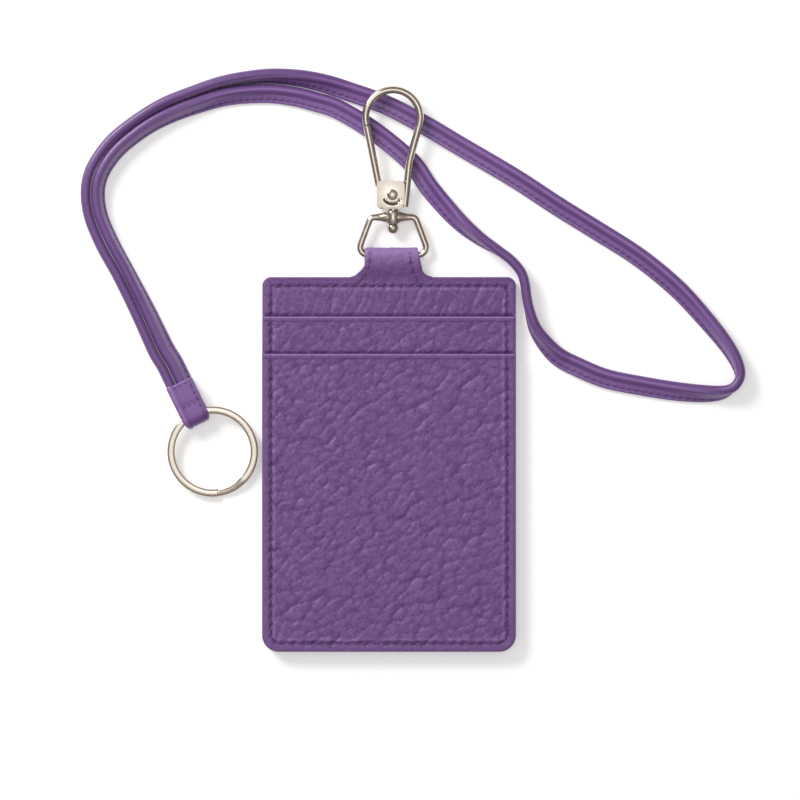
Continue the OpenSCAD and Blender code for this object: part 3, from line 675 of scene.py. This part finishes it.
def coated(bm, path, low, tops):
    """A bulging band of edge coat along a path on the case's outline, from low to tops."""
    ahead = np.gradient(path, axis=0)
    ahead /= np.linalg.norm(ahead, axis=1)[:, None]
    away = np.stack([ahead[:, 1], -ahead[:, 0]], axis=1)
    sides = []
    for high in tops:
        near = min(0.42, 0.4 * (high - low))
        side = [(-0.7, low), (-0.3, low), (-0.15, low + 0.06 * near), (-0.05, low + 0.35 * near),
            (0.0, low + near)]
        for level in layer_lines:
            if low + 0.6 < level < high - 0.6:
                side += [(0, level - 0.14), (-0.05, level), (0, level + 0.14)]
        side += [(0.0, high - near), (-0.05, high - 0.35 * near), (-0.15, high - 0.08 * near),
            (-0.3, high), (-0.7, high)]
        sides.append(np.array(side))
    marks = np.linspace(0, 1, max(len(side) for side in sides))
    rings = []
    for spot, way, side in zip(path, away, sides):
        out, up = at_marks(side, np.linspace(0, 1, len(side)), marks).T
        rings.append(np.column_stack([spot + way * out[:, None], up]))
    skin(bm, rings)


levels = (upper_edge + 0.3, upper_edge - 0.1, lower_edge + 0.3, lower_edge - 0.1)
left = np.vstack([
    trail([(-mouth_half, case_top, 0), (-case_half, case_top, top_corner), (-case_half, levels[0], 0)],
        (8, 8), 12)[:-1],
    [(-case_half, level) for level in levels],
    trail([(-case_half, lower_edge - 0.4, 0), (-case_half, case_low, low_corner), (0, case_low, 0)],
        (90, 40), 12)])
whole = np.vstack([left, left[::-1][1:] * [-1, 1]])
tops = np.select([whole[:, 1] < lower_edge, whole[:, 1] < upper_edge], coat_tops[:2], coat_tops[2])
bm = bmesh.new()
coated(bm, whole, coat_low, tops)
tab_foot = tab_half + tab_flare - 0.3
for start, end, count, low, high in (
        (mouth_half + 0.2, -mouth_half - 0.2, 60, coat_low, mouth_low - 0.03),
        (tab_middle - tab_foot, -mouth_half - 0.2, 24, mouth_top + 0.03, coat_tops[2]),
        (mouth_half + 0.2, tab_middle + tab_foot, 24, mouth_top + 0.03, coat_tops[2])):
    strip = np.column_stack([np.linspace(start, end, count), np.full(count, case_top)])
    coated(bm, strip, low, np.full(count, high))
piece("edge_coat_round", bm, edge_paint, "case", "leather_edge", "edge_coat", sharp=50)

# The case's seam is a row of lock stitches in thick purple thread, drawn into the leather on
# both sides, up the tab and round its fold.
bonded_thread, tree = material("bonded_thread_purple")
strand = noise(tree, 0.25, 2)
surface(tree, blend(tree, strand, "#432a55", "#634578"), Roughness=0.5, IOR=1.5,
    Normal=bumped(tree, strand, 0.5, 0.05))


def stitched(bm, holes, ways, radius, share=0.78):
    """A stitch between each two holes (mm) of a row. ways is the way out of the leather, one
    for all or one for each stitch, and share how much of a stitch can be seen."""
    ways = np.broadcast_to(np.array(ways, float), (len(holes) - 1, 3))
    for a, b, way in zip(holes[:-1], holes[1:], ways):
        reach = b - a
        long = np.linalg.norm(reach)
        along = Vector(reach / long)
        aside = Vector(way).cross(along).normalized()
        axes = Matrix((along, aside, along.cross(aside))).transposed().to_4x4()
        sized = Matrix.Diagonal((long * share / 2 * MM, radius * MM, radius * MM, 1))
        bmesh.ops.create_uvsphere(bm, u_segments=6, v_segments=4, radius=1,
            matrix=Matrix.Translation(Vector((a + b) / 2) * MM) @ axes @ sized)


thread_r, thread_sunk = 0.23, 0.2
bm = bmesh.new()
level = np.select([front_holes[:, 1] < lower_edge, front_holes[:, 1] < upper_edge],
    [lower_foot + pocket_t, upper_foot + pocket_t], front_top)
stitched(bm, np.column_stack([front_holes, level - thread_sunk]), (0, 0, 1), thread_r)
for row in tab_holes:
    spot, way = on_tab(row[:, 1])
    stitched(bm, np.column_stack([row[:, 0], spot - 0.14 * way]),
        np.column_stack([0 * row[:, 0], way])[:-1], thread_r)
under = np.column_stack([back_holes, np.full(len(back_holes), thread_sunk)])
stitched(bm, under, (0, 0, -1), 0.2)
piece("seam_case", bm, bonded_thread, "case", "leather")

# The eye is cast in zinc and nickel plated: a bar for the tab, two legs that lean in, and
# shoulders that widen into the barrel in which the hook turns.
lift = math.radians(3.2)
eye_wire_r, eye_leg_r = 0.98, 0.95
barrel_y, barrel_h, barrel_r, bore_r = 8.53473, 3.6, 1.95, 1.16
wire_sides, turned_sides = 20, 32


def on_eye(points):
    """Points in the hook's own frame (y along the hook from the bar) placed in the scene."""
    x, y, z = np.array(points, float).T
    return np.column_stack([tab_middle + x, bar_y + y * math.cos(lift) - z * math.sin(lift),
        bar_z + y * math.sin(lift) + z * math.cos(lift)])


def stations(x, y, heading, steps, each=5):
    """Places along a bent wire, [x, y, heading]: a step is (length, 0) or (radius, turn)."""
    made = [(x, y, heading)]
    for size, turn in steps:
        count = max(1, math.ceil(abs(turn) / each)) if turn else max(1, round(size / 0.8))
        for _ in range(count):
            a = math.radians(heading)
            if turn:
                b = a + math.radians(turn / count)
                r = math.copysign(size, turn)
                x, y = x + r * (math.sin(b) - math.sin(a)), y - r * (math.cos(b) - math.cos(a))
                heading += turn / count
            else:
                x, y = x + size / count * math.cos(a), y + size / count * math.sin(a)
            made.append((x, y, heading))
    return np.array(made)


def wire(bm, places, radii):
    """A round wire through places, with a radius at each."""
    turn = np.linspace(0, 2 * math.pi, wire_sides, endpoint=False)
    rings = []
    for (x, y, heading), r in zip(places, radii):
        a = math.radians(heading)
        rings.append(on_eye(np.column_stack([x - r * np.cos(turn) * math.sin(a),
            y + r * np.cos(turn) * math.cos(a), r * np.sin(turn)])))
    skin(bm, rings)


def turned(bm, outline, closed=False):
    """A shape turned about the hook's long axis from points (radius, y)."""
    turn = np.linspace(0, 2 * math.pi, turned_sides, endpoint=False)
    skin(bm, [on_eye(np.column_stack([r * np.cos(turn), np.full(turned_sides, y), r * np.sin(turn)]))
        for r, y in outline], closed)


# Nickel plate over polished zinc: bright, a little warm, with fine rubbing marks that
# spread its highlights.
nickel_plate, tree = material("nickel_plate_polished")
rubbing_and_sheen = noise(tree, 1.6, 6)
surface(tree, blend(tree, rubbing_and_sheen, "#bcb3a9", "#cfc7be"), Metallic=1.0,
    Roughness=remap(tree, rubbing_and_sheen, 0.3, 0.7, 0.12, 0.22), Normal=bumped(tree, rubbing_and_sheen, 0.12, 0.05))

bent = stations(0.4, 0, 0, [(6.6, 0), (2.1, 110.6), (6.9, 0), (1.6, 69.4), (3.8, 0)])
frame_line = np.vstack([(bent * [-1, 1, -1])[::-1], bent])
from_axis = np.abs(frame_line[:, 0])
shoulder = np.interp(from_axis, [1.2, 2.2, 3.6, 5.2], [1.62, 1.5, 1.1, eye_leg_r])
radii = np.where(frame_line[:, 1] > barrel_y + barrel_h / 2 - 0.2, shoulder, eye_leg_r)
radii = np.where(frame_line[:, 1] < 0.01, eye_wire_r, radii)
bm = bmesh.new()
wire(bm, frame_line, radii)
rim_half = [(bore_r, 0.1), (bore_r + 0.1, 0), (barrel_r - 0.3, 0), (barrel_r - 0.1, 0.06),
    (barrel_r, 0.25)]
turned(bm, [(r, barrel_y + up) for r, up in rim_half]
    + [(r, barrel_y + barrel_h - up) for r, up in rim_half[::-1]], closed=True)
piece("eye_cast", bm, nickel_plate, "eye", "nickel", "swivel_eye", sharp=50)

# The swivel's stem is turned steel, plated: a round head below the barrel keeps it in, a
# collar runs on the barrel's other end, and its end is pressed into the hook's body.
stem_r, head_r, body_y = 1.1, 1.6, 12.6847
head_y = barrel_y - 0.1
head_share = 0.7
head = [(head_r * math.sin(a), head_y - head_share * head_r - head_r * math.cos(a))
    for a in np.linspace(0.06, math.pi - math.acos(head_share), 12)]
bm = bmesh.new()
turned(bm, head + [(stem_r, head_y + 0.01), (stem_r, body_y - 0.47), (stem_r + 0.1, body_y - 0.45),
    (head_r - 0.08, body_y - 0.45), (head_r, body_y - 0.38), (head_r, body_y - 0.07),
    (head_r - 0.08, body_y), (stem_r, body_y), (stem_r, body_y + stem_r)])
piece("stem_turned", bm, nickel_plate, "hook", "nickel", "swivel_stem", sharp=40)

# The hook's body is cast: a rounded block with the gate's slot, a groove for the wire, and
# a crescent let in below the pin's head. Its two faces are slightly domed from polishing.
body_middle, body_half, body_t = (-0.65, 16.5347), 3.85, 4.4
pin_at = (-0.15, 16.5347)
dome, crescent_deep, crescent_r = 0.26, 0.9, (2.1, 3.1)


def in_hook(co):
    """A place in the scene (m) turned back into the hook's own frame (mm)."""
    x, y, z = co.x / MM - tab_middle, co.y / MM - bar_y, co.z / MM - bar_z
    return (x, y * math.cos(lift) + z * math.sin(lift), z * math.cos(lift) - y * math.sin(lift))


bm = merged("hook_body")
for share in np.linspace(-0.86, 0.86, 9):
    for way in ((1, 0, 0), (0, 1, 0)):
        spot = np.add((*body_middle, 0), np.multiply(way, share * body_half))
        near, far = on_eye([spot, spot + way])
        bmesh.ops.bisect_plane(bm, geom=bm.verts[:] + bm.edges[:] + bm.faces[:], dist=0.001 * MM,
            plane_co=Vector(near) * MM, plane_no=Vector(far - near))
for v in bm.verts:
    x, y, z = in_hook(v.co)
    from_middle = ((x - body_middle[0]) ** 2 + (y - body_middle[1]) ** 2) / body_half ** 2
    outer_face = float(smooth((abs(z) - 1.5) / 0.3))
    from_pin = math.hypot(x - pin_at[0], y - pin_at[1])
    let_in = crescent_r[0] < from_pin < crescent_r[1] and 1.6 < abs(z) < body_t / 2 - 0.02
    lower = dome * from_middle * outer_face + crescent_deep * (crescent_r[1] + 0.05 - from_pin) * let_in
    v.co = Vector(on_eye([(x, y, math.copysign(abs(z) - lower, z))])[0]) * MM
ease(piece("body_cast", bm, nickel_plate, "hook", "nickel", "hook_body", sharp=35), 0.12)

# The hook is one bent and plated wire, a teardrop whose foot lies in the body's groove. Its
# nose is slotted for the gate's tongue.
wire_r = 1.03
slot_half, slot_long = 0.52, 1.67
hook_line = stations(3.2515, 13.2347, 84.3, [(10.9, 0), (20, -9.3), (9, 0), (7.55, 206.5), (1, 0)], 4)
hook_gone = run_length(hook_line[:, :2])
hook_long = hook_gone[-1]
whole_wire = hook_line[hook_gone < hook_long - slot_long]
bm = bmesh.new()
wire(bm, whole_wire, np.full(len(whole_wire), wire_r))
slot_angle = math.asin(slot_half / wire_r)
half_turn = np.linspace(slot_angle, math.pi - slot_angle, 12)
for side in (1, -1):
    rings = []
    for mark in np.linspace(hook_long - slot_long - 0.6, hook_long, 9):
        x, y, heading = at_marks(hook_line, hook_gone, mark)
        a = math.radians(heading)
        r = wire_r * math.sqrt(1 - 0.35 * max(0, 1 - (hook_long - mark) / 0.5) ** 2)
        up, across = np.maximum(r * np.sin(half_turn), slot_half), r * np.cos(half_turn)
        rings.append(on_eye(np.column_stack([x - across * math.sin(a), y + across * math.cos(a),
            side * up])))
    skin(bm, rings)
piece("wire_bent", bm, nickel_plate, "hook", "nickel", "hook_wire", sharp=40)

# The gate turns on a steel rivet with low round heads. It is set through the body and plated
# with it.
dress("gate_pin", nickel_plate)

# A small torsion spring of bare steel wire holds the gate shut. It sits round the rivet,
# hidden in the body, grey and satin with faint clouds.
spring_wire, tree = material("spring_steel_wire")
surface(tree, blend(tree, noise(tree, 0.5, 3), "#7d7a76", "#95918c"), Metallic=1.0, Roughness=0.35)
dress("gate_spring", spring_wire)

# The gate is cast in one and plated: a lug that turns on the rivet, a round wire, and a
# tongue that shuts into the nose's slot.
twin("gate_sprung", "gate", nickel_plate, "gate", "nickel", 0.1)

# The lanyard's strap is one strip of smooth calf leather, folded along its length round a
# cord, so that the fold is a round bead, and stitched along its open edge. Both its ends
# are sewn in at the left of the case, and it lies on the surface in one loose loop.
loop_back, loop_heading = (-58.0, -3.8), math.radians(-64)
end_gap, end_run, end_lean = 0.15, 6, 45
stand_across = -2.35
lean_across = stand_across + 2.6 + end_gap + 1.43 * math.cos(math.radians(end_lean))


def on_loop(points):
    """Points (along, across, up) of the sewn end placed in the scene."""
    along, across, up = np.array(points, float).T
    c, s = math.cos(loop_heading), math.sin(loop_heading)
    return np.column_stack([loop_back[0] + along * c - across * s,
        loop_back[1] + along * s + across * c, up])


def in_end(along, across, roll):
    """A point of the strap's way by its place in the sewn end, to 0.1 micrometre."""
    x, y, _ = np.round(on_loop([(along, across, 0)])[0], 4)
    return (x, y, roll)


# The strap's way: x, y and its roll, where 0 is flat and 90 stands on the stitched edge.
strap_lay = [in_end(0, stand_across, 90), in_end(-end_run, stand_across, 90),
    (-65.1, 4.5, 90), (-69.8, 15, 90), (-74.9, 25.5, 90), (-79.3, 33.5, 88), (-82.6, 41.5, 86),
    (-83.6, 48.5, 84), (-82.5, 54.5, 82), (-79.3, 60, 80), (-75.2, 64.5, 78), (-68.5, 69.5, 76),
    (-62, 73.3, 74), (-54.2, 76.4, 72), (-45.3, 79.3, 70), (-34.5, 80.8, 58), (-26, 80.5, 44),
    (-19, 79.3, 30), (-12, 77.2, 14), (-0.5, 73, 0), (10, 67.5, 0), (20, 61.6, 2), (34.8, 52.9, 6),
    (46.6, 45.2, 8), (57.1, 38.7, 10), (69.3, 30.9, 14), (79.7, 22.3, 22), (87.2, 14.1, 34),
    (93, 6.8, 50), (96, 1.4, 66), (96.6, -2.4, 82), (94.6, -5.6, 104), (90, -6.8, 134),
    (80.5, -6.2, 158), (69, -4.4, 168), (59.6, -2.4, 171), (51.7, 0.9, 172), (47.1, 3.3, 158),
    (43.6, 6.5, 140), (40.3, 11, 118), (38.6, 16, 102), (37.9, 20, 94), (37.5, 23.5, 90),
    (36.4, 26.8, 90), (33.6, 30, 94), (29.3, 33, 104), (24.9, 36, 120), (20.2, 40, 140),
    (16, 44.5, 160), (11, 50.5, 176), (6, 57.5, 180), (-4, 65.8, 180), (-13.9, 71.8, 178),
    (-20.4, 74, 175), (-26.5, 75.5, 170), (-34.2, 76.3, 162), (-44.5, 75.5, 152), (-53, 73, 140),
    (-60.5, 70.1, 132), (-66.8, 66.7, 126), (-73, 62, 122), (-76.7, 58, 120), (-79.4, 53.3, 119),
    (-80.3, 48.5, 119), (-79.4, 42.4, 118), (-76.2, 35, 117), (-71.9, 27, 116), (-66.6, 16.5, 125),
    (-61.8, 6.2, 135),
    in_end(-end_run, lean_across, 90 + end_lean), in_end(0, lean_across, 90 + end_lean)]
# Half of the section, from the stitched edge to the top of the bead: across, out (mm)
strap_half = [(-2.8, 0.28), (-2.66, 0.46), (-2.4, 0.55), (-2.0, 0.6), (-1.62, 0.52),
    (-1.25, 0.62), (-0.8, 0.7), (-0.35, 0.76), (0.0, 0.88), (0.35, 1.08), (0.75, 1.24),
    (1.2, 1.3), (1.65, 1.24), (2.05, 1.04), (2.38, 0.74), (2.56, 0.38)]
section = np.array([(-2.83, 0.0)] + strap_half + [(2.61, 0.0)]
    + [(a, -b) for a, b in reversed(strap_half)])
seam_across, seam_out, strap_pitch = -1.62, 0.56, 2.0


def flow(points, steps):
    """Points of the smooth line that passes through the given ones."""
    p = np.array(points, float)
    p = np.vstack([2 * p[0] - p[1], p, 2 * p[-1] - p[-2]])
    line = []
    for i in range(1, len(p) - 2):
        for t in np.arange(steps) / steps:
            line.append(0.5 * (2 * p[i] + (p[i + 1] - p[i - 1]) * t
                + (2 * p[i - 1] - 5 * p[i] + 4 * p[i + 1] - p[i + 2]) * t ** 2
                + (3 * p[i] - p[i - 1] - 3 * p[i + 1] + p[i + 2]) * t ** 3))
    return np.array(line + [p[-2]])


# Smooth dyed calf, finished with a satin top coat: the bead takes a soft long highlight. Its
# shade paints a highlight along the bead's crest and paler light on the flat stitched side,
# and painted shade on the rest of the bead and in the needle holes.
strap_calf, tree = material("smooth_calf_satin")
tone = blend(tree, noise(tree, 18.2, 3), "#6b4488", "#7f5a9a")
surface(tree, painted_light(tree, tone, "#35204a", 0.8, "#b893cf", 0.7), Roughness=0.4, IOR=1.45,
    Coat_Weight=0.3, Coat_Roughness=0.22, Normal=bumped(tree, pored(tree, 0.9, 0.5, 4, 0.6), 0.25, 0.12))

route = flow(strap_lay, 8)
route_gone = run_length(route[:, :2])
marks = np.linspace(0, route_gone[-1], 4 * round(route_gone[-1] / strap_pitch) + 1)
route = at_marks(route, route_gone, marks)
heading = np.gradient(route[:, :2], axis=0)
heading /= np.linalg.norm(heading, axis=1)[:, None]
roll = np.radians(route[:, 2])
c, s = np.cos(roll), np.sin(roll)
strap_across = np.stack([-heading[:, 1] * c, heading[:, 0] * c, s], axis=1)
strap_out = np.stack([heading[:, 1] * s, -heading[:, 0] * s, c], axis=1)
rise = section[:, :1] * strap_across[:, 2] + section[:, 1:] * strap_out[:, 2]
strap_line = np.column_stack([route[:, :2], -rise.min(axis=0)])
# Each needle hole is a dimple, and the leather between two holes is drawn up a little. Where
# the strap stands on its edge it is a little fuller.
at_seam = bell((section[:, 0] - seam_across) / 0.3)
# Painted light across the strap: a painted highlight along the bead's crest, and paler on the flat stitched
# side.
rubbing_and_sheen = 0.6 * smooth((0.1 - section[:, 0]) / 0.5) + 1.1 * bell((section[:, 0] - 1.45) / 0.28)
fuller = 1 + 0.05 * smooth(route[:, 2] / 60)
rings, shades = [], []
for k, (middle, a, o) in enumerate(zip(strap_line, strap_across, strap_out)):
    needle = [1, 0.2, -0.4, 0.2][k % 4] * at_seam
    out = section[:, 1] * fuller[k] - np.sign(section[:, 1]) * 0.14 * needle
    rings.append(middle + section[:, :1] * a + out[:, None] * o)
    # Painted shade in each needle hole and on the bead away from its crest, and painted light between the
    # holes.
    shades.append(np.clip(1.3 * needle - rubbing_and_sheen + 0.42, -1, 1))
bm = shaded_mesh()
skin(bm, rings, shades=shades)
strap = piece("lanyard_strap", bm, strap_calf, "case", "strap_leather", "strap")

# The strap's seam is a row of small stitches in both faces, 1.2 mm inside the open edge, in
# the same thread as the case's.
bm = bmesh.new()
for face in (1, -1):
    row = strap_line + seam_across * strap_across + face * seam_out * strap_out
    stitched(bm, row[::4], face * strap_out[2:-2:4], 0.2, 0.7)
piece("seam_strap", bm, bonded_thread, "case", "strap_leather")

# The strap's ends lie in a wider strip of the same leather, which is folded round the ring.
# Its bead runs down the left side, and it narrows a little round the ring.
loop_long, loop_half, loop_r, loop_bore = 10.0, 3.8, 2.8, 1.9
pinch_at, pinch_deep = 6.9, 0.22
seam_side = 2.75
around = np.linspace(math.pi / 2, -math.pi / 2, 22)
nose_round = np.column_stack([loop_long + loop_r * np.cos(around), loop_r + loop_r * np.sin(around)])
top_run = np.column_stack([np.linspace(0.25, loop_long, 22)[:-1], np.full(21, 2 * loop_r)])
back_run = [(0.0, 0.25), (0.0, 1.3), (-0.02, 2.4), (0.16, 2.8), (-0.02, 3.2), (0.0, 4.3), (0.0, 5.35)]
side_view = np.vstack([top_run, nose_round, (top_run * [1, 0])[::-1], back_run])
pinch = pinch_deep * bell((side_view[:, 0] - pinch_at) / 0.8)
side_view[:, 1] += np.where(side_view[:, 1] > loop_r, -pinch, pinch)
toward = side_view - [loop_long, loop_r]
bore_view = [loop_long, loop_r] + toward / np.linalg.norm(toward, axis=1)[:, None] * loop_bore
past = np.clip((side_view[:, 0] - loop_long + 0.6) / (loop_r + 0.6), 0, 1)
width = loop_half - 0.9 * rolled(past, 0.98)
outward = (side_view - bore_view) / np.linalg.norm(side_view - bore_view, axis=1)[:, None]
raised = smooth((side_view[:, 1] - 1.2) / 1.6)
rings, shades = [], []
for ring in folded(side_view, bore_view, width, 0.4):
    across = ring[:, 0] * loop_half / width
    outer_side = np.linalg.norm(ring[:, 1:] - side_view, axis=1) < 0.5
    bead = bell((across + 2.9) / 0.6) - 0.5 * bell((across + 1.9) / 0.35)
    dip = bell((across - seam_side) / 0.3)
    ring[:, 1:] += outward * ((0.26 * bead - 0.12 * dip) * raised * outer_side)[:, None]
    rings.append(on_loop(ring[:, [1, 0, 2]]))
    # Painted highlight along the bead and painted shade along the dip of the seam.
    shades.append(np.clip(0.1 - 0.5 * bead + 0.5 * dip, -1, 1) * outer_side)
bm = shaded_mesh()
skin(bm, rings, closed=True, shades=shades)
piece("loop_sewn", bm, strap_calf, "case", "strap_leather", "strap_end_loop")

# The end is sewn down the right side, over the ring, and twice across on both its faces,
# with the same thread.
first, last = 2, int(np.argmax(side_view[:, 0])) + 3
along, up = (side_view - 0.1 * outward)[first:last].T
down_side = paced(np.column_stack([along, width[first:last] * seam_side / loop_half, up]), 1.0)
down_side = on_loop(down_side[: len(down_side) // 2 * 2])
bm = bmesh.new()
stitched(bm, down_side[::2], (0, 0, 1), 0.2, 0.62)
for level, way in ((2 * loop_r, 1), (0.0, -1)):
    for along, sunk in ((0.9, 0.05), (pinch_at, 0.05 + pinch_deep)):
        row = paced(np.array([(along, -2.4, level - sunk * way), (along, 2.3, level - sunk * way)]), 1.6)
        stitched(bm, on_loop(row), (0, 0, way), 0.2, 0.7)
piece("seam_loop", bm, bonded_thread, "case", "strap_leather")

# The split ring is flat steel wire wound twice, its edges rounded in the drawing, and plated.
# One turn climbs over the other where both its ends lie.
ring_middle, ring_wide, ring_thick, ring_gap = 11.5, 2.0, 0.9, 0.15
ring_climb, ring_dip, ring_set = 40, math.radians(4.36108), 0.323
ring_corner, ring_crown = 0.26, 0.3
wide, thick = ring_wide / 2, ring_thick / 2
wire_view = trail([(-wide, -thick, ring_corner), (wide, -thick, ring_corner),
    (wide, thick, ring_corner), (-wide, thick, ring_corner)], (6, 1, 6, 1), 3, closed=True)
wire_view[:, 1] *= 1 - ring_crown * (wire_view[:, 0] / wide) ** 2
rings = []
for turn in np.linspace(ring_climb / 2, 720 - ring_climb / 2, 240):
    climb = min(1, max(0, (turn - 360 + ring_climb / 2) / ring_climb)) - 0.5
    r, a = ring_middle + wire_view[:, 0], math.radians(turn)
    x, y = r * math.cos(a) + ring_middle - ring_set, r * math.sin(a)
    z = (ring_thick + ring_gap) * climb + wire_view[:, 1]
    rings.append(on_loop(np.column_stack([loop_long + x * math.cos(ring_dip) + z * math.sin(ring_dip),
        y, loop_r - x * math.sin(ring_dip) + z * math.cos(ring_dip)])))
bm = bmesh.new()
skin(bm, rings)
piece("ring_split", bm, nickel_plate, "ring", "nickel", "split_ring", sharp=40)

# The wallet lies on white paper, which the camera also sees a little brighter than the lamps
# make it, and all white far away.
floor_size = 6.0
near_glow, far_glow = 0.3, 1.0


def seen(tree):
    """1 for a ray from the camera, straight, mirrored or through film, and 0 for others."""
    path = add(tree, "ShaderNodeLightPath", {}).outputs
    either = calc(tree, "MAXIMUM", path["Is Camera Ray"], path["Is Glossy Ray"])
    return calc(tree, "MAXIMUM", either, path["Is Transmission Ray"])


paper, tree = material("white_paper")
away = add(tree, "ShaderNodeVectorMath", {"operation": "LENGTH"}, i0=own_place(tree)).outputs["Value"]
glow = calc(tree, "MULTIPLY", seen(tree), remap(tree, away, 0.25, 1.0, near_glow, far_glow))
glow = add(tree, "ShaderNodeEmission", {}, Color="#ffffff", Strength=glow)
matt = add(tree, "ShaderNodeBsdfDiffuse", {}, Color="#f4f2ef")
both = add(tree, "ShaderNodeAddShader", {}, i0=glow, i1=matt)
add(tree, "ShaderNodeOutputMaterial", {}, Surface=both)
bm = bmesh.new()
bmesh.ops.create_grid(bm, x_segments=1, y_segments=1, size=floor_size / 2)
floor = placed("floor", bm, paper)
floor.location.z = -0.02 * MM

# Cloth flags lean in round the set and give polished metal its brown sides: dark near the
# table, paler above. Only mirrored rays meet them.
flag_radius, flag_mouth, flag_low, flag_high = 1.4, 0.3, 0.02, 2.2
brown_cloth, tree = material("brown_cloth")
level = add(tree, "ShaderNodeSeparateXYZ", {}, Vector=own_place(tree)).outputs["Z"]
cloth = blend(tree, remap(tree, level, -1.1, 0.4), "#5c5249", "#ddd4ca")
cloth = add(tree, "ShaderNodeBsdfDiffuse", {}, Color=cloth)
add(tree, "ShaderNodeOutputMaterial", {}, Surface=cloth)
bm = bmesh.new()
bmesh.ops.create_cone(bm, segments=48, radius1=flag_radius, radius2=flag_mouth,
    depth=flag_high - flag_low, cap_ends=False)
flags = placed("flags", bm, brown_cloth)
flags.location.z = (flag_low + flag_high) / 2
flags.visible_camera = flags.visible_diffuse = flags.visible_shadow = False
flags.visible_transmission = False

# A soft key lamp stands at the upper left, a wide weak one hangs overhead, and the white
# studio fills in the shadows.
world = bpy.data.worlds.new("studio")
bpy.context.scene.world = world
world.use_nodes = True
tree = world.node_tree
tree.nodes.clear()
fill = add(tree, "ShaderNodeBackground", {}, Color="#ffffff", Strength=0.42)
white = add(tree, "ShaderNodeBackground", {}, Color="#ffffff", Strength=1.0)
mixed = add(tree, "ShaderNodeMixShader", {}, i0=seen(tree), i1=fill, i2=white)
add(tree, "ShaderNodeOutputWorld", {}, Surface=mixed)


def lamp(name, energy, size, location):
    """A square soft lamp that faces the wallet."""
    made = bpy.data.objects.new(name, bpy.data.lights.new(name, "AREA"))
    made.data.energy, made.data.size = energy, size
    made.location = location
    made.rotation_euler = (-made.location).to_track_quat("-Z", "Y").to_euler()
    bpy.context.scene.collection.objects.link(made)


lamp("key", 9.0, 0.45, (-0.6, 0.62, 0.62))
lamp("top", 3.6, 1.0, (0, 0, 1.6))
bpy.context.scene.view_settings.view_transform = "Standard"
